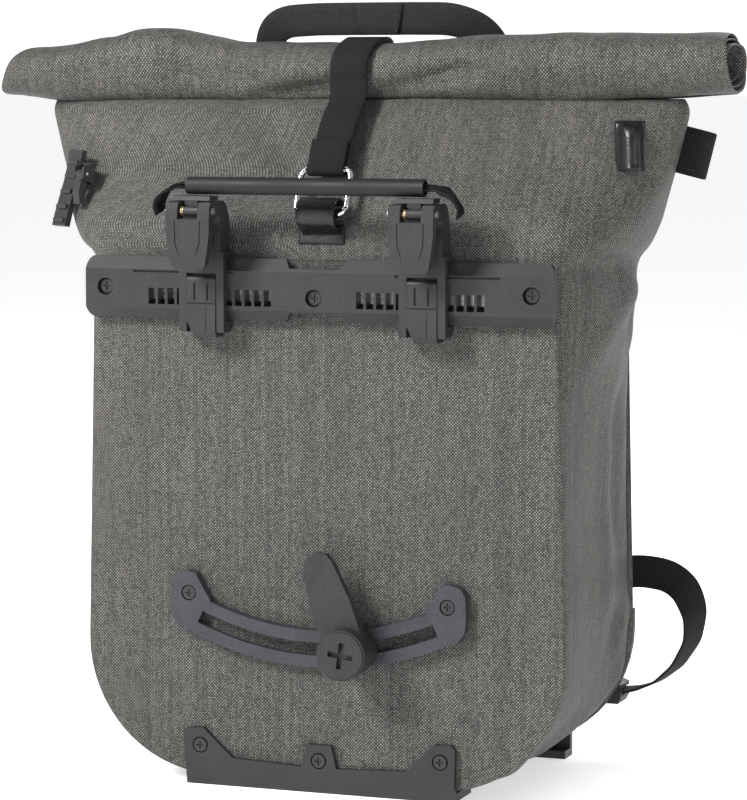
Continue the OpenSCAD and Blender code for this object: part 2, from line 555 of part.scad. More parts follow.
// Lower webbing: out of the adjuster, round in a free loop and back to the anchor
web_path = [[136.4, 178.9, 129.2], [143, 179.4, 127.2], [152, 180, 126.5], [168, 181, 127], [184, 181.5, 124], [195, 182, 115], [201, 182, 100],
            [200, 182, 84], [193, 182, 69], [181, 182, 56], [166, 181.6, 47.5], [153, 181.4, 44.5]];
web_wide = [[0.6, 0, 0.8], [0.4, 0, 0.9], [0.1, 0.1, 1], [0, 0.3, 1], [0.3, 0.6, 0.8], [0.5, 0.9, 0.4], [0.3, 1, 0.1],
            [0.1, 1, 0], [0, 1, 0], [0, 1, 0], [0, 1, 0], [0, 1, 0]];
module harness_webbing(s) color([0.06, 0.06, 0.07]) placed() mirror([s < 0 ? 1 : 0, 0, 0])
  ribbon(web_path, web_wide, 22, 1.8);
module strap_anchor(s) color([0.05, 0.05, 0.06]) placed() mirror([s < 0 ? 1 : 0, 0, 0]) difference() {
  deep(far + 5.2, far + 27) polygon([[139, 37], [152, 37], [154, 41], [154, 50], [148, 52], [139, 50]]);
  deep(far + 7.6, far + 28) polygon([[145, 42.5], [155, 42.5], [155, 47.5], [145, 47.5]]);
}

back_panel();
front_panel();
gusset_band();
collar();
roll_top();
stiffener_board();
closure_strap();
strap_end();
closure_ring();
ring_loop();
grab_handle();
sleeve_loop();
webbing_tab();
mounting_rail();
rail_insert();
rail_screws();
rail_nuts();
hook_body(-hook_x);  // hook_body_left
hook_body(hook_x);  // hook_body_right
hook_lever(-hook_x);  // hook_lever_left
hook_lever(hook_x);  // hook_lever_right
hook_pin(-hook_x);  // hook_pin_left
hook_pin(hook_x);  // hook_pin_right
lever_spring(-hook_x);  // lever_spring_left
lever_spring(hook_x);  // lever_spring_right
rail_clip(-hook_x);  // rail_clip_left
rail_clip(hook_x);  // rail_clip_right
clip_pin(-hook_x);  // clip_pin_left
clip_pin(hook_x);  // clip_pin_right
handle_tube();
handle_webbing(-1);  // handle_webbing_left
handle_webbing(1);  // handle_webbing_right
lower_track();
track_screws();
track_nuts();
track_slider();
lower_hook();
clamp_knob();
bumper();
bumper_screws();
bumper_nuts();
side_clip_base();
side_clip_gate();
side_clip_pin();
lumbar_plate();
lumbar_rivets();
back_pads();
shoulder_yoke();
shoulder_pad(-1);  // shoulder_pad_left
shoulder_pad(1);  // shoulder_pad_right
strap_adjuster(-1);  // strap_adjuster_left
strap_adjuster(1);  // strap_adjuster_right
harness_webbing(-1);  // harness_webbing_left
harness_webbing(1);  // harness_webbing_right
strap_anchor(-1);  // strap_anchor_left
strap_anchor(1);  // strap_anchor_right
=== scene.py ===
"""Looks of the pannier bag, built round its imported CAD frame.

Drawn shapes are in millimetres from the mounting panel's outer face (x across, y into the bag, z up),
and place() turns them into metres in the frame.
"""
import json
import math

import bmesh
import bpy
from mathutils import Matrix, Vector, noise


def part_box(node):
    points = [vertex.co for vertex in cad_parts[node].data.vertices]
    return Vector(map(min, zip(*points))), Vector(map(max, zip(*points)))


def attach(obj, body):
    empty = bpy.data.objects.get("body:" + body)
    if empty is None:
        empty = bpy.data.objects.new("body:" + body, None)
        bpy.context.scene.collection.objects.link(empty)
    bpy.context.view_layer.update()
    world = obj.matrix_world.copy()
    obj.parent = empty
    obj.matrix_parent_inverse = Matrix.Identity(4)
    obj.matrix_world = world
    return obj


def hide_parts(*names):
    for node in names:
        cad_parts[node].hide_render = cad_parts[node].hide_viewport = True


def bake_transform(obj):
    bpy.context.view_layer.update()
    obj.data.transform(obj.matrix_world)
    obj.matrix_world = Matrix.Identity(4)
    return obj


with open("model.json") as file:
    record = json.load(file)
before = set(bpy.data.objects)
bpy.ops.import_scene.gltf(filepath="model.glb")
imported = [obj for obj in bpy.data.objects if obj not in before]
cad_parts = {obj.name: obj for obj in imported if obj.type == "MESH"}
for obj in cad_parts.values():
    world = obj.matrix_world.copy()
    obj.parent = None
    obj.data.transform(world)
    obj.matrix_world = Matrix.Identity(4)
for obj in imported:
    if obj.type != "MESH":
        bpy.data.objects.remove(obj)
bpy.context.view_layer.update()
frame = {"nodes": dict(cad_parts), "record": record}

MM = 0.001
NODES = frame["nodes"]


def limits(node):
    """Lowest and highest corner of a CAD node in millimetres from the mounting face."""
    low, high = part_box(node)
    return [Vector((p[0] / MM, p[1] / MM - FACE, p[2] / MM)) for p in (low, high)]


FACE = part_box("back_panel")[0][1] / MM
PANEL_LOW, PANEL_HIGH = limits("back_panel")
ROLL_LOW, ROLL_HIGH = limits("roll_top")
COLLAR_HIGH = limits("collar")[1]
DEPTH = limits("front_panel")[1].y
FLOOR_Z = PANEL_LOW.z
TOP_Z = PANEL_HIGH.z
LOW_W = PANEL_HIGH.x        # half the panels' width low down
TOP_W = LOW_W - 6           # half their width at the top
CORNER_R = 86
SWELL = 27                  # how far the gussets bulge


def place(p):
    """A drawn point in metres in the frame."""
    return (p[0] * MM, (p[1] + FACE) * MM, p[2] * MM)


def lookup(x, table):
    """Straight-line value at x in a list of (x, value), smoothed at its points."""
    if x <= table[0][0]:
        return table[0][1]
    for (x0, v0), (x1, v1) in zip(table, table[1:]):
        if x <= x1:
            t = (x - x0) / (x1 - x0)
            t = t * t * (3 - 2 * t)
            return v0 + (v1 - v0) * t
    return table[-1][1]


def arc(cx, cy, r, a0, a1, n):
    turn = [math.radians(a0 + (a1 - a0) * i / n) for i in range(n + 1)]
    return [(cx + r * math.cos(a), cy + r * math.sin(a)) for a in turn]


def wander(x, y, z, size, seed=0.0):
    """Smooth noise from -1 to 1 whose features are about size millimetres across."""
    return noise.noise(Vector((x / size + seed, y / size - seed, z / size + 2 * seed)))


def smooth_path(points, step=2.0):
    """Catmull-Rom curve through 3-D points, with a point about every step millimetres."""
    pts = [Vector(p) for p in points]
    pts = [2 * pts[0] - pts[1]] + pts + [2 * pts[-1] - pts[-2]]
    out = []
    for i in range(1, len(pts) - 2):
        a, b, c, d = pts[i - 1:i + 3]
        count = max(1, round((c - b).length / step))
        for k in range(count):
            t = k / count
            out.append(0.5 * (2 * b + (c - a) * t + (2 * a - 5 * b + 4 * c - d) * t * t
                              + (3 * b - a - 3 * c + d) * t * t * t))
    return out + [pts[-2]]


# ---------- meshes ----------
def mesh_object(name, verts, faces, corner_uv, material, body="bag"):
    me = bpy.data.meshes.new(name)
    me.from_pydata([place(v) for v in verts], [], faces)
    layer = me.uv_layers.new(name="weave")
    for poly, uvs in zip(me.polygons, corner_uv):
        for loop, uv in zip(poly.loop_indices, uvs):
            layer.data[loop].uv = (uv[0] * MM, uv[1] * MM)
        poly.use_smooth = True
    obj = bpy.data.objects.new(name, me)
    bpy.context.scene.collection.objects.link(obj)
    me.materials.append(material)
    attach(obj, body)
    return obj


def skin(name, rows, material, body="bag", closed=False, caps=False, uv=None):
    """Mesh over rows of points. closed joins each row's ends, caps closes the first and last rows."""
    n = len(rows[0])
    verts = [p for row in rows for p in row]
    uv = uv or (lambda j, i: (i * 5, j * 5))
    faces = []
    corner_uv = []
    for j in range(len(rows) - 1):
        for i in range(n if closed else n - 1):
            k = (i + 1) % n
            faces.append((j * n + i, j * n + k, (j + 1) * n + k, (j + 1) * n + i))
            corner_uv.append((uv(j, i), uv(j, i + 1), uv(j + 1, i + 1), uv(j + 1, i)))
    if caps:
        last = (len(rows) - 1) * n
        faces.append(tuple(range(n - 1, -1, -1)))
        faces.append(tuple(last + i for i in range(n)))
        corner_uv += [[(verts[v][0], verts[v][2]) for v in f] for f in faces[-2:]]
    obj = mesh_object(name, verts, faces, corner_uv, material, body)
    fix_normals(obj)
    return obj


def fix_normals(obj, weld=False, fill=False):
    """Turns a mesh's faces outwards, after joining points that coincide or closing its open edges."""
    bm = bmesh.new()
    bm.from_mesh(obj.data)
    if weld:
        bmesh.ops.remove_doubles(bm, verts=bm.verts, dist=1e-6)
    if fill:
        bmesh.ops.holes_fill(bm, edges=[e for e in bm.edges if e.is_boundary], sides=0)
    bmesh.ops.recalc_face_normals(bm, faces=bm.faces)
    bm.to_mesh(obj.data)
    bm.free()


def modifier(obj, kind, **values):
    m = obj.modifiers.new(kind.lower(), kind)
    for key, value in values.items():
        setattr(m, key, value)
    return m


def apply_modifiers(obj):
    """Replaces obj's mesh with what its modifiers make of it."""
    graph = bpy.context.evaluated_depsgraph_get()
    graph.update()
    me = bpy.data.meshes.new_from_object(obj.evaluated_get(graph))
    obj.modifiers.clear()
    old = obj.data
    obj.data = me
    bpy.data.meshes.remove(old)


WEBBING_WAVE = 14           # length of the slight waves in webbing


def ribbon(name, path, wide, w, t, material, body="bag", step=1.6, wave=0.25):
    """Webbing of width w and thickness t along a path.

    wide gives its width direction along the path, and wave the height of its slight waves.
    """
    line = smooth_path(path, step)
    sides = smooth_path([Vector(v) * 100 for v in wide], 100 * len(wide) / len(line) / 3)
    half, thick = w / 2, t / 2
    edge = 0.5
    profile = [(-half, -thick * 0.4), (-half + edge, -thick), (-half * 0.5, -thick), (0, -thick),
               (half * 0.5, -thick), (half - edge, -thick), (half, -thick * 0.4), (half, thick * 0.4),
               (half - edge, thick), (half * 0.5, thick), (0, thick), (-half * 0.5, thick),
               (-half + edge, thick), (-half, thick * 0.4)]
    across = [0]
    for a, b in zip(profile, profile[1:] + profile[:1]):
        across.append(across[-1] + math.dist(a, b))
    along = [0.0]
    rows = []
    for i, p in enumerate(line):
        d = (line[min(i + 1, len(line) - 1)] - line[max(i - 1, 0)]).normalized()
        s = sides[round(i / (len(line) - 1) * (len(sides) - 1))]
        s = (s - d * s.dot(d)).normalized()
        up = d.cross(s)
        if i:
            along.append(along[-1] + (p - line[i - 1]).length)
        lift = wave * wander(p.x, p.y, p.z, WEBBING_WAVE, 3.1)
        rows.append([p + s * a + up * (b + lift) for a, b in profile])
    return skin(name, rows, material, body, closed=True, caps=True,
                uv=lambda j, i: (across[i], along[j]))


def tube(name, path, radius, material, body, sides=16, closed=False, step=0.8):
    """Round bar along a path."""
    line = smooth_path(path + [path[0]] if closed else path, step)
    if closed:
        line = line[:-1]
    n = len(line)
    rows = []
    side = None
    for i, p in enumerate(line):
        if closed:
            d = (line[(i + 1) % n] - line[i - 1]).normalized()
        else:
            d = (line[min(i + 1, n - 1)] - line[max(i - 1, 0)]).normalized()
        if side is None:
            side = d.orthogonal().normalized()
        side = (side - d * side.dot(d)).normalized()
        up = d.cross(side)
        rows.append([p + (side * math.cos(a) + up * math.sin(a)) * radius
                     for a in [2 * math.pi * k / sides for k in range(sides)]])
    if closed:
        rows.append(rows[0])
    obj = skin(name, rows, material, body, closed=True, caps=not closed,
               uv=lambda j, i: (i * 2 * math.pi * radius / sides, j * step))
    if closed:
        fix_normals(obj, weld=True)
    return obj


# ---------- materials ----------
class Shader:
    """Small helper that builds a node material with a Principled shader."""

    def __init__(self, name, color=(0.5, 0.5, 0.5), roughness=0.5):
        self.material = bpy.data.materials.new(name)
        self.material.use_nodes = True
        self.tree = self.material.node_tree
        self.shader = self.tree.nodes["Principled BSDF"]
        self.shader.inputs["Base Color"].default_value = (*color, 1)
        self.shader.inputs["Roughness"].default_value = roughness

    def node(self, kind, **values):
        n = self.tree.nodes.new("ShaderNode" + kind)
        for key, value in values.items():
            setattr(n, key, value)
        return n

    def link(self, a, b):
        self.tree.links.new(a, b)

    def put(self, socket, value):
        """Sets an input to a value, or links it to another node's output."""
        if isinstance(value, (int, float, tuple)):
            socket.default_value = value
        else:
            self.link(value, socket)

    def math(self, operation, a, b=0.0, clamp=False):
        n = self.node("Math", operation=operation, use_clamp=clamp)
        for socket, value in zip(n.inputs, (a, b)):
            self.put(socket, value)
        return n.outputs[0]

    def add(self, a, b):
        return self.math("ADD", a, b)

    def mul(self, a, b, clamp=False):
        return self.math("MULTIPLY", a, b, clamp)

    def choose(self, pick, a, b):
        """a where pick is 1 and b where it is 0."""
        return self.add(self.mul(a, pick), self.mul(b, self.math("SUBTRACT", 1.0, pick)))

    def half_sine(self, value):
        """Rises from 0 to 1 and back as value goes from 0 to 1."""
        return self.math("SINE", self.mul(value, math.pi))

    def mix(self, factor, a, b):
        n = self.node("Mix", data_type="RGBA")
        self.put(n.inputs["Factor"], factor)
        for key, value in (("A", a), ("B", b)):
            socket = next(s for s in n.inputs if s.name == key and s.type == "RGBA")
            self.put(socket, (*value, 1) if isinstance(value, tuple) and len(value) == 3 else value)
        return next(s for s in n.outputs if s.type == "RGBA")

    def noise(self, vector, scale, detail=2.0, roughness=0.5):
        n = self.node("TexNoise")
        self.link(vector, n.inputs["Vector"])
        n.inputs["Scale"].default_value = scale
        n.inputs["Detail"].default_value = detail
        n.inputs["Roughness"].default_value = roughness
        return n.outputs[0]

    def random(self, vector):
        n = self.node("TexWhiteNoise", noise_dimensions="3D")
        self.link(vector, n.inputs["Vector"])
        return n.outputs["Value"]

    def combine(self, x, y, z=0.0):
        n = self.node("CombineXYZ")
        for socket, value in zip(n.inputs, (x, y, z)):
            self.put(socket, value)
        return n.outputs[0]

    def object_coords(self):
        return self.node("TexCoord").outputs["Object"]

    def weave_uv(self, pitch_u, pitch_v):
        """Position counted in threads across and along, from the piece's own weave map."""
        uv = self.node("UVMap", uv_map="weave")
        sep = self.node("SeparateXYZ")
        self.link(uv.outputs[0], sep.inputs[0])
        return [self.math("DIVIDE", sep.outputs[k], pitch * MM) for k, pitch in enumerate((pitch_u, pitch_v))]

    def bump(self, height, distance, strength=1.0, normal=None):
        n = self.node("Bump")
        n.inputs["Strength"].default_value = strength
        n.inputs["Distance"].default_value = distance
        self.link(height, n.inputs["Height"])
        if normal:
            self.link(normal, n.inputs["Normal"])
        return n.outputs[0]

    def ramp(self, value, low, high, to_low=0.0, to_high=1.0):
        n = self.node("MapRange")
        for socket, v in zip(n.inputs, (value, low, high, to_low, to_high)):
            self.put(socket, v)
        return n.outputs[0]

    def color(self, value):
        self.link(value, self.shader.inputs["Base Color"])

    def roughness(self, value):
        self.link(value, self.shader.inputs["Roughness"])

    def normal(self, value):
        self.link(value, self.shader.inputs["Normal"])


def coated_fabric(name, dark=(0.012, 0.0115, 0.0108), light=(0.295, 0.283, 0.263), pitch=1.05, run=7.0):
    """Coated plain weave of light and dark threads. A thread keeps its tone for run crossings."""
    s = Shader(name, roughness=0.62)
    s.shader.inputs["Specular IOR Level"].default_value = 0.32
    u, v = s.weave_uv(pitch, pitch)
    i = s.math("FLOOR", u)
    j = s.math("FLOOR", v)
    fu = s.math("FRACT", u)
    fv = s.math("FRACT", v)
    over = s.math("PINGPONG", s.add(i, j), 1.0)
    warp = s.random(s.combine(i, s.math("FLOOR", s.math("DIVIDE", j, run)), 1.0))
    weft = s.random(s.combine(s.math("FLOOR", s.math("DIVIDE", i, run)), j, 2.0))
    cell = s.random(s.combine(i, j, 3.0))
    column = s.random(s.combine(s.math("FLOOR", s.math("DIVIDE", u, 3.0)), 0.0, 5.0))
    thread = s.choose(over, warp, weft)
    # painted highlight on the middle of each float of a thread and painted shade where it dips under its
    # neighbour
    hump = s.mul(s.half_sine(fu), s.half_sine(fv))
    bright = s.add(s.mul(thread, 0.35), s.mul(cell, 0.65))
    up = s.ramp(bright, 0.0, 1.0, 0.12, 1.0)
    down = s.ramp(bright, 0.0, 1.0, 0.0, 0.16)
    tone = s.choose(over, up, down)
    tone = s.mul(tone, s.ramp(column, 0.0, 1.0, 0.82, 1.12))
    # painted shade in the dips between threads and painted highlight on their crowns, taken from the threads'
    # height
    tone = s.mul(tone, s.ramp(hump, 0.0, 0.9, 0.15, 1.2))
    worn = s.noise(s.object_coords(), 9.0, 4.0, 0.6)
    tone = s.mul(tone, s.ramp(worn, 0.3, 0.7, 0.9, 1.1), clamp=True)
    s.color(s.mix(tone, dark, light))
    s.roughness(s.ramp(cell, 0.0, 1.0, 0.5, 0.72))
    fine = s.bump(hump, 0.00018, 0.75)
    s.normal(s.bump(s.noise(s.object_coords(), 60.0, 3.0), 0.0005, 0.35, fine))
    return s.material


def webbing(name, dark=(0.002, 0.002, 0.0022), light=(0.012, 0.0115, 0.0115), rib=1.7, thread=0.9):
    """Black woven strap with ribs across it."""
    s = Shader(name, roughness=0.7)
    u, v = s.weave_uv(thread, rib)
    i = s.math("FLOOR", u)
    shifted = s.add(v, s.mul(s.math("PINGPONG", i, 1.0), 0.5))
    rib_h = s.half_sine(s.math("FRACT", shifted))
    thread_h = s.half_sine(s.math("FRACT", u))
    height = s.mul(s.math("POWER", rib_h, 0.6), s.math("POWER", thread_h, 0.5))
    cell = s.random(s.combine(i, s.math("FLOOR", shifted), 0.0))
    # painted shade in the grooves between ribs and threads, taken from their height, times a random tone for
    # each cell
    tone = s.mul(s.ramp(height, 0.0, 1.0, 0.1, 1.0), s.ramp(cell, 0.0, 1.0, 0.55, 1.0))
    s.color(s.mix(tone, dark, light))
    s.normal(s.bump(height, 0.00035, 0.9))
    s.shader.inputs["Specular IOR Level"].default_value = 0.25
    return s.material


def moulded(name, color, roughness=0.48, grain=0.00012, speck=0.35, scale=1400.0):
    """Moulded nylon or rubber: a fine grain, with broad patches that are a little paler and duller."""
    s = Shader(name, color, roughness)
    at = s.object_coords()
    fine = s.noise(at, scale, 2.0, 0.7)
    broad = s.noise(at, 45.0, 3.0, 0.6)
    tone = s.add(s.ramp(fine, 0.35, 0.7, 1 - speck, 1 + speck), s.ramp(broad, 0.3, 0.7, -0.12, 0.16))
    pale = tuple(min(1.0, c * 1.8 + 0.004) for c in color)
    dark = tuple(c * 0.55 for c in color)
    s.color(s.mix(s.ramp(tone, 0.5, 1.5), dark, pale))
    s.roughness(s.ramp(broad, 0.3, 0.7, roughness - 0.07, roughness + 0.08))
    s.normal(s.bump(fine, grain, 0.6))
    s.shader.inputs["Specular IOR Level"].default_value = 0.38
    return s.material


def metal(name, color, roughness=0.25, brush=(1.0, 1.0, 1.0), amount=0.05):
    """Bright metal with faint marks drawn out along the direction where brush is smallest."""
    s = Shader(name, color, roughness)
    s.shader.inputs["Metallic"].default_value = 1.0
    scale = s.node("Mapping")
    s.link(s.object_coords(), scale.inputs["Vector"])
    scale.inputs["Scale"].default_value = brush
    marks = s.noise(scale.outputs[0], 600.0, 3.0, 0.7)
    s.roughness(s.ramp(marks, 0.3, 0.7, max(0.03, roughness - amount), roughness + amount))
    s.color(s.mix(s.ramp(marks, 0.3, 0.7), tuple(c * 0.86 for c in color), color))
    s.normal(s.bump(marks, 0.00003, 0.4))
    return s.material


def glossy_film(name, color):
    """Soft glossy film over webbing, with gentle dents."""
    s = Shader(name, color, 0.22)
    at = s.object_coords()
    dents = s.noise(at, 120.0, 3.0, 0.55)
    s.roughness(s.ramp(dents, 0.3, 0.7, 0.24, 0.42))
    s.color(s.mix(s.ramp(dents, 0.3, 0.7), color, tuple(c * 2.2 for c in color)))
    s.normal(s.bump(dents, 0.0012, 0.5))
    s.shader.inputs["Specular IOR Level"].default_value = 0.4
    return s.material


def spacer_mesh(name, dark=(0.006, 0.006, 0.007), light=(0.045, 0.045, 0.048), pitch=3.0):
    """Knitted spacer mesh with small round openings in staggered rows."""
    s = Shader(name, roughness=0.85)
    at = s.object_coords()
    sep = s.node("SeparateXYZ")
    s.link(at, sep.inputs[0])
    row_pitch = pitch * 0.866
    v = s.math("DIVIDE", sep.outputs[2], row_pitch * MM)
    row = s.math("FLOOR", v)
    u = s.add(s.math("DIVIDE", sep.outputs[0], pitch * MM), s.mul(s.math("PINGPONG", row, 1.0), 0.5))
    du = s.math("SUBTRACT", s.math("FRACT", u), 0.5)
    dv = s.math("SUBTRACT", s.math("FRACT", v), 0.5)
    away = s.math("SQRT", s.add(s.mul(du, du), s.mul(dv, dv)))
    wall = s.ramp(away, 0.2, 0.42)
    yarn = s.noise(at, 1800.0, 2.0)
    # painted shade: the round openings are coloured dark where shade falls into them, and the knitted walls
    # between them take the yarn's tone
    s.color(s.mix(s.mul(wall, s.ramp(yarn, 0.3, 0.7, 0.5, 1.0)), dark, light))
    s.normal(s.bump(wall, 0.0008, 0.8))
    return s.material


MAT = {
    "fabric": coated_fabric("coated_fabric"),
    "webbing": webbing("webbing"),
    "grab_webbing": webbing("grab_webbing", light=(0.036, 0.036, 0.037), rib=1.2, thread=0.8),
    "nylon": moulded("black_nylon", (0.0165, 0.0165, 0.0175)),
    "slate": moulded("slate_nylon", (0.027, 0.029, 0.035), 0.42),
    "grip": moulded("grip_rubber", (0.004, 0.004, 0.0042), 0.58, grain=0.00004, speck=0.15, scale=500.0),
    "board": moulded("board_plastic", (0.08, 0.08, 0.08), 0.6),
    "gloss": glossy_film("gloss_film", (0.006, 0.006, 0.0068)),
    "aluminium": metal("aluminium", (0.78, 0.79, 0.81), 0.32, (0.05, 1.0, 1.0), 0.1),
    "chrome": metal("chrome", (0.82, 0.82, 0.83), 0.1, amount=0.05),
    "steel": metal("bright_steel", (0.66, 0.65, 0.63), 0.28, amount=0.1),
    "brass": metal("spring_steel", (0.72, 0.56, 0.3), 0.3, amount=0.1),
    "screw": moulded("black_screw", (0.02, 0.02, 0.022), 0.35, grain=0.00003, speck=0.2),
    "pad": spacer_mesh("spacer_mesh"),
    "binding": webbing("binding_tape", (0.004, 0.004, 0.005), (0.022, 0.022, 0.023), rib=1.1, thread=0.6),
    "thread": moulded("sewing_thread", (0.016, 0.016, 0.017), 0.6, grain=0.00003, speck=0.3),
}
SLOT_MATERIAL = {
    "coated_fabric": "fabric", "webbing": "webbing", "pad_mesh": "pad", "black_nylon": "nylon",
    "slate_nylon": "slate", "gloss_tpu": "gloss", "grip_rubber": "grip", "board_plastic": "board",
    "aluminium": "aluminium", "chromed_steel": "chrome", "bright_steel": "steel", "black_steel": "screw",
    "spring_steel": "brass",
}


# ---------- the bag's shell ----------
def half_width(z):
    """Half the width of the large panels at height z."""
    centre_z = FLOOR_Z + CORNER_R
    if z < centre_z:
        return LOW_W - CORNER_R + math.sqrt(max(0.0, CORNER_R ** 2 - (centre_z - z) ** 2))
    return LOW_W + (TOP_W - LOW_W) * (z - centre_z) / (TOP_Z - centre_z)


# Share of the bulge at each height
SWELL_AT = [(92, 0), (130, 0.1), (180, 0.12), (230, 0.25), (270, 0.5), (300, 0.78), (325, 0.98), (345, 1)]
NEAR_COUNT = 52             # points along the near and far sides of a section
SIDE_COUNT = 22             # points along its left and right sides


def square_edge():
    """Points spread along a unit square's edge, from the middle of the near side."""
    def run(count):
        return [-1 + 2 * i / count for i in range(count)]
    ring = [(u, -1) for u in run(NEAR_COUNT)] + [(1, v) for v in run(SIDE_COUNT)]
    ring += [(-u, 1) for u in run(NEAR_COUNT)] + [(-1, -v) for v in run(SIDE_COUNT)]
    middle = NEAR_COUNT // 2
    return ring[middle:] + ring[:middle]


EDGE = square_edge()
INSIDE = 0.6                # the shell stays this far inside the large panels


def squared(q, n):
    """A point of the unit square's edge, pulled in to a superellipse of power n."""
    k = (abs(q[0]) ** n + abs(q[1]) ** n) ** (-1 / n)
    return q[0] * k, q[1] * k


def wall_ring(z):
    """The shell's level section below the panels' top edge."""
    w = half_width(z) - 1
    swell = SWELL * lookup(z, SWELL_AT)
    b = DEPTH / 2 - INSIDE
    nearly_square = 30
    ring = []
    for q in EDGE:
        u, v = squared(q, nearly_square)
        x = u * (w + swell * (1 - v * v) * abs(u) ** 6)
        ring.append((x, DEPTH / 2 + b * v, z))
    return ring


def collar_ring(t):
    """The shell's section in the collar, t from 0 at the panels' top to 1 under the roll."""
    z = TOP_Z + (COLLAR_HIGH.z - TOP_Z) * t
    near = INSIDE + 51.4 * t ** 1.5
    far = DEPTH - INSIDE - 63.4 * t ** 1.4
    a = TOP_W + (COLLAR_HIGH.x - TOP_W) * t ** 0.8
    n = 2.6 + 17 * (1 - t) ** 5          # squareness: an oval under the roll
    ring = []
    for q in EDGE:
        u, v = squared(q, n)
        x = a * u + SWELL * (1 - t) * (1 - v * v) * abs(u) ** 6 * (1 if u > 0 else -1)
        ring.append((x, (near + far) / 2 + (far - near) / 2 * v, z))
    return ring


# Folds in the shell: start and end (x, y, z), depth (inwards, or outwards if negative), half width
PAIRED_FOLDS = [
    ((160, 6, 350), (186, 60, 338), 5.0, 8),
    ((190, 84, 330), (170, 40, 292), -5.0, 13),
    ((168, 112, 250), (164, 124, 160), 4.5, 14),
    ((164, 84, 240), (164, 96, 120), -3.0, 12),
    ((164, 150, 108), (118, 20, 22), -4.5, 9),
    ((162, 120, 96), (130, 32, 30), 4.0, 9),
]
FOLDS = PAIRED_FOLDS + [
    ((-170, 25, 432), (-140, 20, 408), 4.5, 13),
    ((-205, 50, 438), (-178, 30, 412), 3.5, 9),
    ((-150, 20, 404), (-95, 12, 386), -2.5, 12),
    ((168, 30, 428), (166, 16, 384), 4.0, 11),
    ((186, 48, 392), (150, 6, 366), -3.0, 13),
    ((184, 60, 352), (192, 110, 330), 4.0, 10),
    ((186, 120, 330), (172, 100, 296), 4.0, 10),
    ((160, 158, 70), (130, 60, 22), -4.0, 8),
    ((-60, 46, 436), (-30, 24, 404), 3.0, 9),
    ((70, 46, 438), (44, 22, 402), 3.0, 9),
    ((-110, 110, 430), (-90, 140, 380), 4.0, 12),
    ((120, 110, 430), (96, 140, 376), 4.5, 12),
]
FOLDS += [(*((-x, y, z) for x, y, z in fold[:2]), *fold[2:]) for fold in PAIRED_FOLDS]


def fold_shift(p, folds):
    """How far a point sinks inwards from the folds near it."""
    total = 0.0
    for a, b, depth, width in folds:
        a, b = Vector(a), Vector(b)
        line = b - a
        t = (p - a).dot(line) / line.length_squared
        beyond = max(0.0, -t, t - 1) * line.length
        near = a + line * min(1.0, max(0.0, t))
        d = (p - near).length
        total += depth * math.exp(-(d / width) ** 2) * math.exp(-(beyond / width) ** 2)
    return total


def crumple(obj, folds, ripple, keep):
    """Moves a mesh's points along their normals by folds and fine waves, freely where keep(p) is 1."""
    me = obj.data
    normals = [v.normal.copy() for v in me.vertices]
    for v, n in zip(me.vertices, normals):
        p = Vector((v.co.x / MM, v.co.y / MM - FACE, v.co.z / MM))
        free = keep(p)
        if free <= 0:
            continue
        wave = ripple * (wander(p.x, p.y, p.z, 55, 1.7) + 0.45 * wander(p.x, p.y, p.z, 22, 5.2))
        v.co += n * (wave - fold_shift(p, folds)) * free * MM


def shell_free(p):
    """The shell is held flat by the two large panels, and free in its gussets and collar."""
    held_z = TOP_Z + 4
    if p.z > held_z:
        return min(1.0, (p.z - TOP_Z - 4) / 20)
    from_panel = min(p.y, DEPTH - p.y)
    return min(1.0, max(0.0, (from_panel - 3) / 16))


def bag_shell():
    """Gussets, floor and collar in one sheet, tucked up into the roll at its top."""
    corner_z = FLOOR_Z + CORNER_R
    wall_count, collar_count = 30, 16
    arcs = [corner_z + CORNER_R * math.sin(math.radians(a)) for a in range(-90, 1, 6)]
    walls = [corner_z + (TOP_Z - FLOOR_Z - CORNER_R) * i / wall_count for i in range(1, wall_count + 1)]
    rows = [wall_ring(z) for z in arcs + walls]
    rows += [collar_ring(i / collar_count) for i in range(1, collar_count + 1)]
    roll_y = 75
    rows.append([(x * 0.985, roll_y + (y - roll_y) * 0.7, z + 7) for x, y, z in rows[-1]])
    floor = []
    for f in (0.02, 0.3, 0.6, 0.85):
        floor.append([(x, DEPTH / 2 + (y - DEPTH / 2) * f, FLOOR_Z) for x, y, _ in rows[0]])
    rows = floor + rows
    girth = []
    for row in rows:
        run = [0.0]
        for a, b in zip(row, row[1:] + row[:1]):
            run.append(run[-1] + math.dist(a, b))
        girth.append(run)
    rise = [0.0]
    for a, b in zip(rows, rows[1:]):
        rise.append(rise[-1] + math.dist(a[0], b[0]))
    obj = skin("bag_shell", rows, MAT["fabric"], closed=True,
               uv=lambda j, i: (girth[j][i], rise[j]))
    crumple(obj, FOLDS, 1.5, shell_free)
    modifier(obj, "SOLIDIFY", thickness=1.2 * MM, offset=-1)
    modifier(obj, "SUBSURF", levels=1, render_levels=1)
    apply_modifiers(obj)
    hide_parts("gusset_band", "collar")


def panel_outline(inset):
    """Outline of a large panel, (x, z) points from the bottom right corner round to the floor."""
    r = CORNER_R - inset
    low = LOW_W - inset
    cz = FLOOR_Z + CORNER_R
    top = TOP_W - inset
    side = [(low + (top - low) * i / 12, cz + (TOP_Z - cz) * i / 12) for i in range(1, 13)]
    right = arc(low - r, cz, r, -90, 0, 18) + side
    left = [(-x, z) for x, z in reversed(right)]
    crown = [(top - 2 * top * i / 16, TOP_Z) for i in range(1, 16)]
    base = [((-low + r) + 2 * (low - r) * i / 10, FLOOR_Z + inset) for i in range(1, 10)]
    return right + crown + left + base


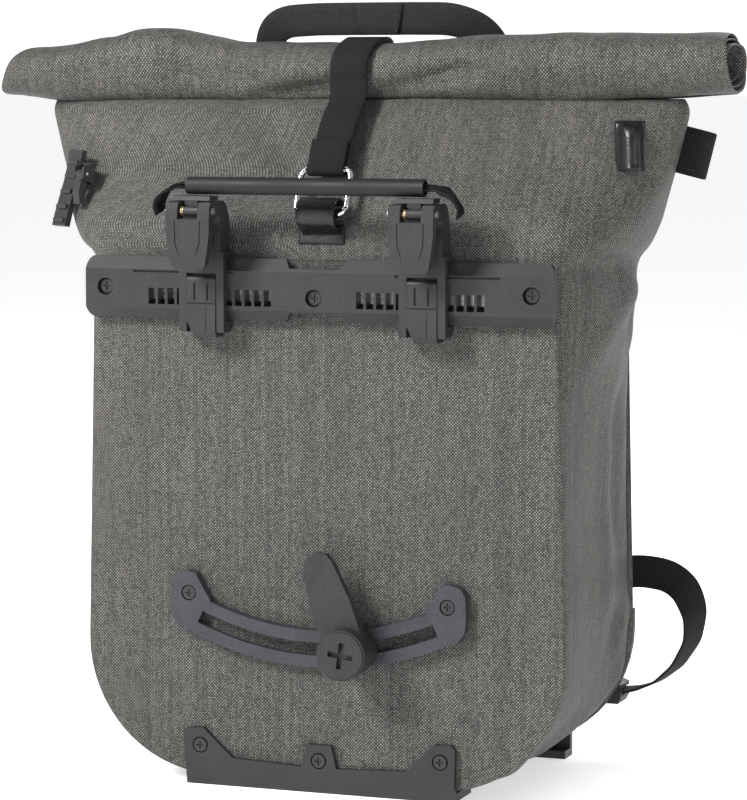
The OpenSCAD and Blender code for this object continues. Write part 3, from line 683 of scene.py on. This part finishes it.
def large_panel(name, node, y_face, outward):
    """Flat panel welded to the shell, with pressed lines inside its edge. outward is -1 or 1 along y."""
    # from the edge inwards: inset, and height over the face
    profile = [(0.0, -1.2), (-0.2, 0.2), (0.3, 0.95), (1.2, 1.2), (6.2, 1.2), (7.0, 0.75), (8.6, 0.7),
               (9.4, 1.15), (11.0, 1.15), (11.8, 0.9), (12.6, 1.15), (16, 1.1), (22, 1.1)]
    rows = []
    for inset, rise in profile:
        rows.append([(x, y_face + outward * rise, z) for x, z in panel_outline(inset)])
    mid_z = (FLOOR_Z + TOP_Z) / 2
    last = rows[-1]
    for f in (0.93, 0.85, 0.76, 0.67, 0.58, 0.49, 0.4, 0.31, 0.22, 0.13, 0.05):
        rows.append([(x * f, y, mid_z + (z - mid_z) * f) for x, y, z in last])

    def wavy(p):
        x, y, z = p
        edge = min(1.0, max(0.0, (LOW_W - 14 - abs(x)) / 30))
        lift = 0.55 * wander(x, 0, z * 0.22, 26, 2.3) + 0.4 * wander(x, 0, z, 90, 7.7)
        return (x, y + lift * edge, z)

    rows = [[wavy(p) for p in row] for row in rows]
    obj = skin(name, rows, MAT["fabric"], closed=True)
    layer = obj.data.uv_layers["weave"]
    for poly in obj.data.polygons:
        for loop in poly.loop_indices:
            co = obj.data.vertices[obj.data.loops[loop].vertex_index].co
            layer.data[loop].uv = (co.x, co.z)
    fix_normals(obj, fill=True)
    modifier(obj, "SUBSURF", levels=1, render_levels=1)
    apply_modifiers(obj)
    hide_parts(node)


bag_shell()
large_panel("mounting_panel", "back_panel", 0.0, -1)
large_panel("far_panel", "front_panel", DEPTH, 1)

# ---------- rolled mouth ----------
# Heights of the roll's top and bottom along x
ROLL_TOP = [(-256, 482.5), (-235, 483.5), (-211, 484.5), (-180, 490.5), (-152, 496), (-135, 495.5),
            (-100, 488.5), (-88, 486.2), (-60, 486.8), (-38, 486), (-3, 484.5), (52, 487), (100, 490),
            (160, 491.5), (256, 491)]
ROLL_BOTTOM = [(-256, 446.5), (-200, 443), (-120, 441.5), (-40, 441), (5, 444), (50, 441.5), (120, 441.5),
               (200, 445.5), (256, 449)]
ROLL_FOLDS = [
    ((14, 49, 448), (84, 49, 466), 8.5, 5),
    ((18, 48, 462), (70, 49, 476), -2.5, 7),
    ((-10, 50, 454), (-62, 50, 445), 7.5, 6),
    ((-12, 49, 470), (-52, 50, 462), -2.5, 8),
    ((-250, 49, 470), (-130, 49, 478), -1.8, 9),
    ((-120, 48, 466), (-60, 49, 458), 2.5, 10),
    ((110, 49, 458), (160, 49, 452), 3.0, 9),
    ((120, 49, 474), (240, 49, 470), -1.6, 10),
]


def rolled_mouth():
    """The mouth's two layers wound three times round a flat core, open at its ends."""
    turns = 3.1
    layer = 3.3                 # how far each turn lies inside the one before
    squareness = 2.7
    across = 58
    round_steps = 34
    x_low, x_high = ROLL_LOW.x, ROLL_HIGH.x
    mid_y = (ROLL_LOW.y + ROLL_HIGH.y) / 2
    reach_y = (ROLL_HIGH.y - ROLL_LOW.y) / 2
    rows = []
    length = [0.0]
    for j in range(int(turns * round_steps) + 1):
        # starts at the far side's foot and climbs over the top towards the near side
        turn = j / round_steps
        angle = math.radians(-62 + 360 * turn)
        c, s = math.cos(angle), math.sin(angle)
        k = (abs(c) ** squareness + abs(s) ** squareness) ** (-1 / squareness)
        row = []
        for i in range(across + 1):
            f = i / across
            x = x_low + (x_high - x_low) * f
            top, bottom = lookup(x, ROLL_TOP), lookup(x, ROLL_BOTTOM)
            mid_z, reach_z = (top + bottom) / 2, (top - bottom) / 2
            shrink = layer * turn
            under_strap = 2.4 * math.exp(-((x - 5) / 26) ** 2)
            a = reach_y - shrink - under_strap
            b = reach_z - shrink
            end = 1.0 - abs(2 * f - 1) ** 24 * 0.012 * (1 + math.sin(5 * turn))
            drift = 2.2 * wander(x, c * 30, s * 30, 46, 4.4) + 0.8 * wander(x, c * 30, s * 30, 19, 9.1)
            drift *= 1.0 if turn < 1 else 0.5
            slant = 5.0 * (1 + s * k) * (1 - f) ** 24
            p = Vector((x * end + slant, mid_y + (a + drift) * c * k, mid_z + (b + drift) * s * k))
            if turn < 1 and c < 0.2:
                p -= Vector((0, c * k, s * k)) * fold_shift(p, ROLL_FOLDS)
            row.append(p)
        rows.append(row)
        if j:
            length.append(length[-1] + (rows[-1][across // 2] - rows[-2][across // 2]).length)
    obj = skin("rolled_mouth", rows, MAT["fabric"],
               uv=lambda j, i: (x_low + (x_high - x_low) * i / across, length[j]))
    modifier(obj, "SOLIDIFY", thickness=1.5 * MM, offset=-1)
    modifier(obj, "SUBSURF", levels=1, render_levels=1)
    apply_modifiers(obj)
    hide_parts("roll_top")


rolled_mouth()


# ---------- webbing and small fittings ----------
def seam(name, path, out, pitch=2.6, filled=0.72):
    """Row of raised stitches along a path, standing out along direction out."""
    line = smooth_path(path, 0.5)
    run = 0.0
    verts = []
    faces = []
    corner_uv = []
    out = Vector(out).normalized()
    last = line[0]
    start = None
    for p in line:
        run += (p - last).length
        last = p
        phase = (run % pitch) / pitch
        if phase < filled and start is None:
            start = p
        if phase >= filled and start is not None:
            side = (p - start).normalized().cross(out).normalized()
            base = len(verts)
            for q, w, h in ((start, 0.15, -0.2), (start + (p - start) * 0.25, 0.38, 0.3),
                            (start + (p - start) * 0.75, 0.38, 0.3), (p, 0.15, -0.2)):
                verts += [q - side * w + out * (h - 0.3), q - side * w * 0.6 + out * h,
                          q + side * w * 0.6 + out * h, q + side * w + out * (h - 0.3)]
            for k in range(3):
                for i in range(4):
                    a = base + 4 * k
                    faces.append((a + i, a + (i + 1) % 4, a + 4 + (i + 1) % 4, a + 4 + i))
                    corner_uv.append([(i, k), (i + 1, k), (i + 1, k + 1), (i, k + 1)])
            faces += [(base + 3, base + 2, base + 1, base), (base + 12, base + 13, base + 14, base + 15)]
            corner_uv += [[(0, 0), (1, 0), (1, 1), (0, 1)]] * 2
            start = None
    fix_normals(mesh_object(name, verts, faces, corner_uv, MAT["thread"]))


def closure():
    """The closing strap over the roll, the ring it ends in, and the glossy loop that holds the ring."""
    over = []
    reach_y, reach_z = (ROLL_HIGH.y - ROLL_LOW.y) / 2 + 0.6, (ROLL_HIGH.z - ROLL_LOW.z) / 2
    mid_y, mid_z = (ROLL_HIGH.y + ROLL_LOW.y) / 2, (ROLL_HIGH.z + ROLL_LOW.z) / 2
    squared_off = 0.833
    for a in range(40, 200, 10):
        c, t = math.cos(math.radians(a)), math.sin(math.radians(a))
        y = mid_y + reach_y * math.copysign(abs(c) ** squared_off, c)
        z = mid_z - 1.5 + (reach_z - 1.5) * math.copysign(abs(t) ** squared_off, t)
        over.append((5.0 * math.sin(math.radians(a)) ** 2 + 1, y, z))
    down = [(3, 42, 447), (1.5, 31.5, 435), (0.6, 22.5, 421), (0, 18.6, 412)]
    bar = [(0, y, z) for y, z in arc(12, 403, 3.7, 38, -205, 12)]
    tail = [(0, 12.2, 409.5), (0, 14.8, 415), (0, 18.6, 422)]
    path = over + down + bar + tail
    strap = ribbon("closure_strap_woven", path, [(1, 0, 0)] * 4, 25, 1.5, MAT["webbing"], wave=0.5)
    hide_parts("closure_strap", "strap_end")
    strap.parent = None
    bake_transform(strap)
    lean = math.atan2(13, 28)
    half, tall, corner = 17, 30.9, 5.5
    flat = []
    for cx, cz, a0 in ((half - corner, corner, -90), (half - corner, tall - corner, 0),
                       (-half + corner, tall - corner, 90), (-half + corner, corner, 180)):
        flat += arc(cx, cz, corner, a0, a0 + 90, 4)
    leant = [(x, -1 + math.sin(lean) * z, 375 + math.cos(lean) * z) for x, z in flat]
    ring = tube("chrome_ring", leant, 2.1, MAT["chrome"], "ring", closed=True, step=1.2)
    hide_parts("closure_ring")
    loop = [(0, 2.4, 357.5), (0, 2.6, 361), (0, -1.0, 364.8), (0, -6.2, 367.2), (0, -9.6, 371.5),
            (0, -10.0, 377), (0, -6.8, 381.8), (0, -1.0, 384.0), (0, 5.0, 383.4), (0, 8.4, 380)]
    film = ribbon("ring_loop_film", loop, [(1, 0, 0)] * 3, 26, 1.7, MAT["gloss"], wave=0.7)
    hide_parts("ring_loop")
    patch = [(0, 1.6, 355.5), (0, 2.6, 361), (0, 4.2, 367.5)]
    ribbon("ring_loop_patch", patch, [(1, 0, 0)] * 2, 31, 1.0, MAT["gloss"], wave=0.2)


def grab_handle():
    """Band that stands on edge behind the roll, doubled in its middle."""
    path = [(-74, 112.5, 428), (-75, 107, 440), (-76, 105.6, 456), (-76.5, 104.6, 474), (-73, 100.5, 489),
            (-62, 95, 497.4), (-42, 91.5, 499.6), (-15, 90.2, 500), (10, 90, 500), (35, 90.2, 500),
            (58, 92.5, 499), (75, 98, 492), (84, 102.5, 478), (85, 105, 458), (84, 107, 440),
            (83, 112.5, 428)]
    wide = [(-1, 0, 0)] * 3 + [(-1, 0, 0.35), (-0.75, 0, 0.7), (-0.25, 0, 1)] + [(0, 0, 1)] * 4
    wide += [(0.3, 0, 1), (0.75, 0, 0.65), (1, 0, 0.3)] + [(1, 0, 0)] * 3
    band = ribbon("grab_handle_woven", path, wide, 21.5, 2.0, MAT["grab_webbing"], wave=0.6)
    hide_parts("grab_handle")
    grip = [(-7, 88.4, 499.6), (-6, 87.8, 499.9), (8, 87.7, 500), (22, 87.8, 499.9), (23, 88.4, 499.6)]
    ribbon("grab_handle_fold", grip, [(0, 0, 1)] * 3, 21.5, 1.6, MAT["grab_webbing"], wave=0.2)
    for x in (-4, 20):
        seam(f"grab_handle_seam_{x + 4}", [(x, 86.8, 490.5), (x, 86.8, 509.5)], (0, -1, 0))


def sleeve():
    """Glossy sleeve on the near right corner, open at its foot and pinched shut at its top."""
    turn, lean = math.radians(26), math.radians(8)
    origin = Vector((192, 46.4, 403))

    def at(x, y, h):
        y2, z2 = y * math.cos(lean) + h * math.sin(lean), h * math.cos(lean) - y * math.sin(lean)
        return origin + Vector((x * math.cos(turn) - y2 * math.sin(turn),
                                x * math.sin(turn) + y2 * math.cos(turn), z2))

    back = 3
    section = [(-9.3, back), (-8.6, 1.6), (-7.0, -0.6), (-6.3, -4.4), (-4.4, -8.2), (-1.4, -10.1),
               (1.4, -10.1), (4.4, -8.2), (6.3, -4.4), (7.0, -0.6), (8.6, 1.6), (9.3, back)]
    # height, and the section's width and depth there
    sizes = [(-0.4, 1.0, 1.02), (0.4, 1.03, 1.05), (2, 1.0, 1.0), (8, 1.0, 0.97), (14, 0.99, 0.93),
             (20, 1.0, 0.9), (25, 1.0, 0.8), (28.5, 0.98, 0.55), (30.5, 0.94, 0.2), (31, 0.9, 0.05)]
    rows = [[at(x * wide, back + (y - back) * deep, h) for x, y in section] for h, wide, deep in sizes]
    film = skin("sleeve_film", rows, MAT["gloss"])
    modifier(film, "SOLIDIFY", thickness=1.1 * MM, offset=-1)
    modifier(film, "SUBSURF", levels=2, render_levels=2)
    apply_modifiers(film)
    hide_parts("sleeve_loop")
    foot = [at(x, 3.2, -1.5) for x in (-9.6, 9.6)]
    head = [at(x, 3.2, 32) for x in (-9.6, 9.6)]
    low, high = (foot[0] + foot[1]) / 2, (head[0] + head[1]) / 2
    path = [low, (foot[0] + foot[1] + head[0] + head[1]) / 4, high]
    ribbon("sleeve_patch", path, [foot[1] - foot[0]] * 2, 19.4, 0.9, MAT["gloss"], wave=0.1)


def side_tab():
    """Loop of webbing that stands out from the far right corner of the collar."""
    lean = math.radians(14)
    origin = Vector((211, 84, 401))

    def at(x, y, z):
        return origin + Vector((x * math.cos(lean) + z * math.sin(lean), y,
                                z * math.cos(lean) - x * math.sin(lean)))

    loop = [(-3, 1.0), (6, 0.8), (14, 1.2), (17.6, 2.4), (18.4, 4.6), (17.6, 6.8), (14, 8.0), (6, 8.2),
            (-3, 8.0)]
    path = [at(x, y, 15) for x, y in loop]
    across = at(0, 0, 1) - at(0, 0, 0)
    tab = ribbon("side_tab_woven", path, [across] * 3, 30, 1.7, MAT["webbing"], wave=0.2)
    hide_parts("webbing_tab")
    for k, z in enumerate((4, 26)):
        seam(f"side_tab_seam_{k}", [at(1, 0, z), at(12, 0, z)], (0, -1, 0))


def mirrored(points, side):
    """Points drawn for the right side, turned over for the left one where side is -1."""
    return [(side * x, y, z) for x, y, z in points]


def handle_end(side):
    """Webbing that comes out of the handle's tube and curls down behind the hook."""
    name = "left" if side < 0 else "right"
    path = [(44, -26.5, 393), (66, -26.5, 393), (80, -26.5, 393), (87, -26.6, 392.8), (93.5, -26.2, 390.6),
            (98.5, -25, 386.4), (101.4, -23.4, 381), (101.6, -22, 375.5)]
    wide = [(0, 1, 0), (0, 1, 0), (0, 1, 0.2), (-0.1, 1, 0.55), (-0.2, 0.8, 0.75), (-0.3, 0.8, 0.5),
            (-0.2, 1, 0.2), (0, 1, 0)]
    obj = ribbon(f"handle_end_{name}_woven", mirrored(path, side), mirrored(wide, side), 1.0, 1.8,
                 MAT["webbing"], body=f"handle_end_{name}", step=0.9)
    # narrow as far as the tube may slide over it, then spread to its full width
    narrow_w, full_w, spread_from = 6.4, 16.0, 87.5
    me = obj.data
    count = 14                  # points of the ribbon's section
    rows = len(me.vertices) // count
    for j in range(rows):
        ring = [me.vertices[j * count + i] for i in range(count)]
        middle = sum((v.co for v in ring), Vector()) / count
        d = (ring[6].co - ring[0].co).normalized()
        x = abs(middle.x) / MM
        w = narrow_w if x < spread_from else min(full_w, narrow_w + (x - spread_from) * 1.8)
        for v in ring:
            off = (v.co - middle).dot(d)
            v.co += d * off * (w - 1.0)
    fix_normals(obj)
    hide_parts(f"handle_webbing_{name}")


def lever_spring(side):
    """Two turns of wire round the lever's pin."""
    name = "left" if side < 0 else "right"
    x0 = side * 75 - 6.25
    turns, steps, coil_r, pitch = 2, 12, 2.6, 1.25
    coil = []
    for i in range(steps * turns + 1):
        a = 2 * math.pi * i / steps
        coil.append((x0 + pitch * i / steps * 0.92, -35.6 + coil_r * math.sin(a), 377 + coil_r * math.cos(a)))
    wire = tube(f"lever_spring_{name}_wire", coil, 0.5, MAT["brass"], f"hook_{name}",
                sides=10, step=0.45)
    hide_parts(f"lever_spring_{name}")


def harness_strap(side):
    """Loop from the adjuster round to the anchor at the plate's foot, and the feed through the adjuster."""
    name = "left" if side < 0 else "right"
    path = [(128, 179, 136), (134.5, 178.8, 130.6), (142, 179.4, 127.4), (152, 180, 126.5), (168, 181, 127),
            (184, 181.5, 124), (195, 182, 115), (201, 182, 100), (200, 182, 84), (193, 182, 69),
            (181, 182, 56), (166, 181.6, 47.5), (153, 181.4, 44.8), (146.5, 181.2, 45)]
    wide = [(0.6, 0, 0.8), (0.6, 0, 0.8), (0.4, 0, 0.9), (0.1, 0.1, 1), (0, 0.3, 1), (0.3, 0.6, 0.8),
            (0.5, 0.9, 0.4), (0.3, 1, 0.1), (0.1, 1, 0)] + [(0, 1, 0)] * 5
    obj = ribbon(f"harness_strap_{name}", mirrored(path, side), mirrored(wide, side), 22, 1.6,
                 MAT["webbing"], wave=0.8)
    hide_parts(f"harness_webbing_{name}")
    # short length from the shoulder pad's end through the adjuster, with its loose tail
    feed = [(106, 183.5, 160), (113, 182.6, 150.5), (119, 180.4, 143), (124, 178.2, 138.6),
            (129, 179.6, 133.4), (133, 183.2, 128), (137, 186.6, 119), (139.5, 188, 106), (140, 188.2, 92)]
    turned = [(0.8, 0, 0.6)] * 6 + [(1, 0, 0.3)] * 2
    ribbon(f"harness_feed_{name}", mirrored(feed, side), mirrored(turned, side), 21, 1.5,
           MAT["webbing"], wave=0.5)


# ---------- pads of the harness ----------
def prism(name, outline, y0, y1):
    """Straight-sided block over an (x, z) outline, from depth y0 to y1."""
    n = len(outline)
    verts = [(x, y, z) for y in (y0, y1) for x, z in outline]
    faces = [tuple(range(n)), tuple(range(2 * n - 1, n - 1, -1))]
    faces += [(i, n + i, n + (i + 1) % n, (i + 1) % n) for i in range(n)]
    uv = [[(0, 0)] * len(f) for f in faces]
    obj = mesh_object(name, verts, faces, uv, MAT["pad"])
    fix_normals(obj)
    return obj


def stuffed(obj, cap, y_low, y_high, voxel=4.5):
    """Fills a pad like a cushion: blown up by the cloth solver by no more than cap, and held in depth."""
    sim_frames = 20
    modifier(obj, "REMESH", mode="VOXEL", voxel_size=voxel * MM)
    apply_modifiers(obj)
    before = [v.co.copy() for v in obj.data.vertices]
    cloth = modifier(obj, "CLOTH")
    cloth.settings.use_pressure = True
    cloth.settings.uniform_pressure_force = 4
    cloth.settings.effector_weights.gravity = 0
    scene = bpy.context.scene
    for f in range(1, sim_frames + 1):
        scene.frame_set(f)
        bpy.context.evaluated_depsgraph_get().update()
    graph = bpy.context.evaluated_depsgraph_get()
    shaped = obj.evaluated_get(graph).data
    after = [v.co.copy() for v in shaped.vertices]
    obj.modifiers.clear()
    scene.frame_set(1)
    for v, a, b in zip(obj.data.vertices, before, after):
        step = b - a
        if step.length > cap * MM:
            step *= cap * MM / step.length
        p = a + step
        y = min(y_high, max(y_low, p.y / MM - FACE))
        v.co = Vector((p.x, (y + FACE) * MM, p.z))
    for poly in obj.data.polygons:
        poly.use_smooth = True
    return obj


def pressed(obj, lines, y_from, depth=2.6, width=3.2):
    """Presses sewn channels into the outer side of a pad. lines are (x, z) polylines."""
    for v in obj.data.vertices:
        x, y, z = v.co.x / MM, v.co.y / MM - FACE, v.co.z / MM
        if y < y_from:
            continue
        near = min(distance_to(x, z, line) for line in lines)
        v.co.y -= depth * MM * math.exp(-(near / width) ** 2)


def distance_to(x, z, line):
    """Distance from a point to a polyline."""
    best = 1e9
    for (x0, z0), (x1, z1) in zip(line, line[1:]):
        dx, dz = x1 - x0, z1 - z0
        t = ((x - x0) * dx + (z - z0) * dz) / (dx * dx + dz * dz)
        t = min(1.0, max(0.0, t))
        best = min(best, math.hypot(x - x0 - t * dx, z - z0 - t * dz))
    return best


def finish_pad(obj, fill, *nodes):
    modifier(obj, "SUBSURF", levels=1, render_levels=1)
    apply_modifiers(obj)
    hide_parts(*nodes)


def tape(name, outline, y, w, inset=0.0):
    """Binding tape round a pad's edge."""
    points = [Vector((x, y, z)) for x, z in outline]
    middle = sum(points, Vector()) / len(points)
    ring = [p + (middle - p).normalized() * inset for p in points]
    ring.append(ring[0])
    ribbon(name, [tuple(p) for p in ring], [(0, 1, 0)] * 2, w, 1.0, MAT["binding"], wave=0.15)


def rounded(outline, r=9, n=4):
    """Rounds the corners of a closed outline."""
    out = []
    count = len(outline)
    for i in range(count):
        p = Vector(outline[i])
        a = (Vector(outline[i - 1]) - p)
        b = (Vector(outline[(i + 1) % count]) - p)
        s = p + a.normalized() * min(r, a.length / 2.2)
        e = p + b.normalized() * min(r, b.length / 2.2)
        for k in range(n + 1):
            t = k / n
            out.append(tuple((1 - t) ** 2 * s + 2 * t * (1 - t) * p + t * t * e))
    return out


BACK_PAD = [(14, 118), (110, 118), (123, 136), (119, 298), (106, 324), (14, 324)]
# Middle line of a shoulder pad: x, z and half its width
PAD_LINE = [(44, 336, 22), (46, 315, 25), (51, 292, 28), (57, 268, 30), (65, 244, 30.5), (75, 220, 30.5),
            (86, 198, 29), (97, 178, 26), (106, 162, 21), (112, 151, 16)]


def shoulder_outline(inset):
    """Outline of the right shoulder pad, pulled in by inset."""
    left, right = [], []
    for i, (x, z, w) in enumerate(PAD_LINE):
        x0, z0, _ = PAD_LINE[max(i - 1, 0)]
        x1, z1, _ = PAD_LINE[min(i + 1, len(PAD_LINE) - 1)]
        d = Vector((x1 - x0, z1 - z0)).normalized()
        left.append((x + d.y * (w - inset), z - d.x * (w - inset)))
        right.append((x - d.y * (w - inset), z + d.x * (w - inset)))
    return left + right[::-1]


def pads():
    """Back pads, shoulder pads with their binding and webbing, and the yoke between them."""
    for side, name in ((-1, "left"), (1, "right")):
        outline = rounded([(side * x, z) for x, z in BACK_PAD], 16)
        middle = Vector((side * 66, 221))
        small = [tuple(middle + (Vector(q) - middle) * 0.965) for q in outline]
        pad = stuffed(prism(f"back_pad_{name}", small, 163.6, 170.4), 4.0, 162.9, 173.2)
        rows = [[(side * 22, z), (side * 112, z + 10)] for z in (160, 205, 250, 292)]
        pressed(pad, rows, 166.5)
        finish_pad(pad, 0.7, *(["back_pads"] if side < 0 else []))
        tape(f"back_pad_tape_{name}", outline, 164.6, w=4.4, inset=1.4)
        outline = [(side * x, z) for x, z in shoulder_outline(2.5)]
        pad = stuffed(prism(f"shoulder_pad_{name}_filled", outline, 177, 190), 5.0, 174.6, 194)
        spine = [(side * x, z) for x, z, _ in PAD_LINE[1:-1]]
        pressed(pad, [spine], 184, depth=2.2, width=3.0)
        finish_pad(pad, 0.75, f"shoulder_pad_{name}")
        tape(f"shoulder_pad_tape_{name}", [(side * x, z) for x, z in shoulder_outline(0.6)], 184, w=6.5)
        strip = [(side * x, 193.2, z) for x, z, _ in PAD_LINE[1:-1]] + [(side * 108, 190, 157)]
        ribbon(f"shoulder_strip_{name}", strip, [(side * 0.9, 0, 0.35)] * 2, 20, 1.2, MAT["webbing"],
               wave=0.2)
    outline = rounded([(-83, 329.5), (-78, 340), (78, 340), (83, 329.5)], 4)
    yoke = stuffed(prism("harness_yoke", outline, 164, 172.4), 2.5, 162.9, 174.1)
    finish_pad(yoke, 0.6, "shoulder_yoke")


closure()
grab_handle()
sleeve()
side_tab()
for way in (-1, 1):
    handle_end(way)
    lever_spring(way)
    harness_strap(way)
pads()

# ---------- camera, floor and light ----------
def studio():
    """Pale floor, a white horizon and three soft lamps."""
    reach = 80                  # metres from the middle to the floor's edges
    floor = bpy.data.meshes.new("floor")
    corners = [(-reach, -reach, 0), (reach, -reach, 0), (reach, reach, 0), (-reach, reach, 0)]
    floor.from_pydata(corners, [], [(0, 1, 2, 3)])
    ground = bpy.data.objects.new("floor", floor)
    bpy.context.scene.collection.objects.link(ground)
    pale = Shader("pale_floor", (0.9, 0.9, 0.9), 0.9)
    pale.shader.inputs["Emission Color"].default_value = (1, 1, 1, 1)
    pale.shader.inputs["Emission Strength"].default_value = 0.52
    floor.materials.append(pale.material)
    world = bpy.data.worlds.new("studio")
    bpy.context.scene.world = world
    world.use_nodes = True
    tree = world.node_tree
    # white near the horizon and softer overhead: height of the ray, then strength
    at = tree.nodes.new("ShaderNodeTexCoord")
    split = tree.nodes.new("ShaderNodeSeparateXYZ")
    tree.links.new(at.outputs["Generated"], split.inputs[0])
    fade = tree.nodes.new("ShaderNodeMapRange")
    for socket, value in zip(fade.inputs[1:5], (0.1, 0.3, 1.14, 0.4)):
        socket.default_value = value
    tree.links.new(split.outputs[2], fade.inputs[0])
    tree.links.new(fade.outputs[0], tree.nodes["Background"].inputs[1])
    tree.nodes["Background"].inputs[0].default_value = (1, 1, 1, 1)
    aim = Vector((0, 0, 0.26))
    lamps = [("key", (-1.35, -1.9, 1.95), 0.8, 105), ("fill", (2.3, -1.2, 0.9), 1.4, 12),
             ("back", (0.6, 2.2, 1.8), 1.6, 40)]
    for name, where, size, power in lamps:
        lamp = bpy.data.lights.new(name, "AREA")
        lamp.size = size
        lamp.energy = power
        obj = bpy.data.objects.new(name, lamp)
        obj.location = where
        obj.rotation_euler = (aim - Vector(where)).to_track_quat("-Z", "Y").to_euler()
        bpy.context.scene.collection.objects.link(obj)
    bpy.context.scene.view_settings.view_transform = "Standard"


def camera():
    """Long lens from the right of the mounting side and a little above."""
    azimuth, elevation, distance = math.radians(20), math.radians(5.66), 2.0783
    target = Vector((0.0361, FACE * MM, 0.2567))
    away = Vector((math.sin(azimuth) * math.cos(elevation), -math.cos(azimuth) * math.cos(elevation),
                   math.sin(elevation)))
    data = bpy.data.cameras.new("camera")
    data.lens = 146.6
    data.sensor_width = 36
    obj = bpy.data.objects.new("camera", data)
    obj.location = target + away * distance
    obj.rotation_euler = (-away).to_track_quat("-Z", "Y").to_euler()
    bpy.context.scene.collection.objects.link(obj)
    bpy.context.scene.camera = obj


studio()
camera()

# ---------- materials of the CAD nodes that stay ----------
SOFT_EDGED = ("lower_track", "lower_hook", "clamp_knob", "bumper", "mounting_rail", "lumbar_plate",
              "hook_body_left", "hook_body_right")
for entry in frame["record"]["subparts"]:
    part = NODES[entry["node"]]
    material = MAT[SLOT_MATERIAL[entry["material_slot"]]]
    if part.data.materials:
        for k in range(len(part.data.materials)):
            part.material_slots[k].material = material
    else:
        part.data.materials.append(material)
    if not part.hide_render:
        width = 0.55 if entry["node"] in SOFT_EDGED else 0.3
        modifier(part, "BEVEL", width=width * MM, segments=2, limit_method="ANGLE",
                 angle_limit=math.radians(38), use_clamp_overlap=True, miter_outer="MITER_ARC")
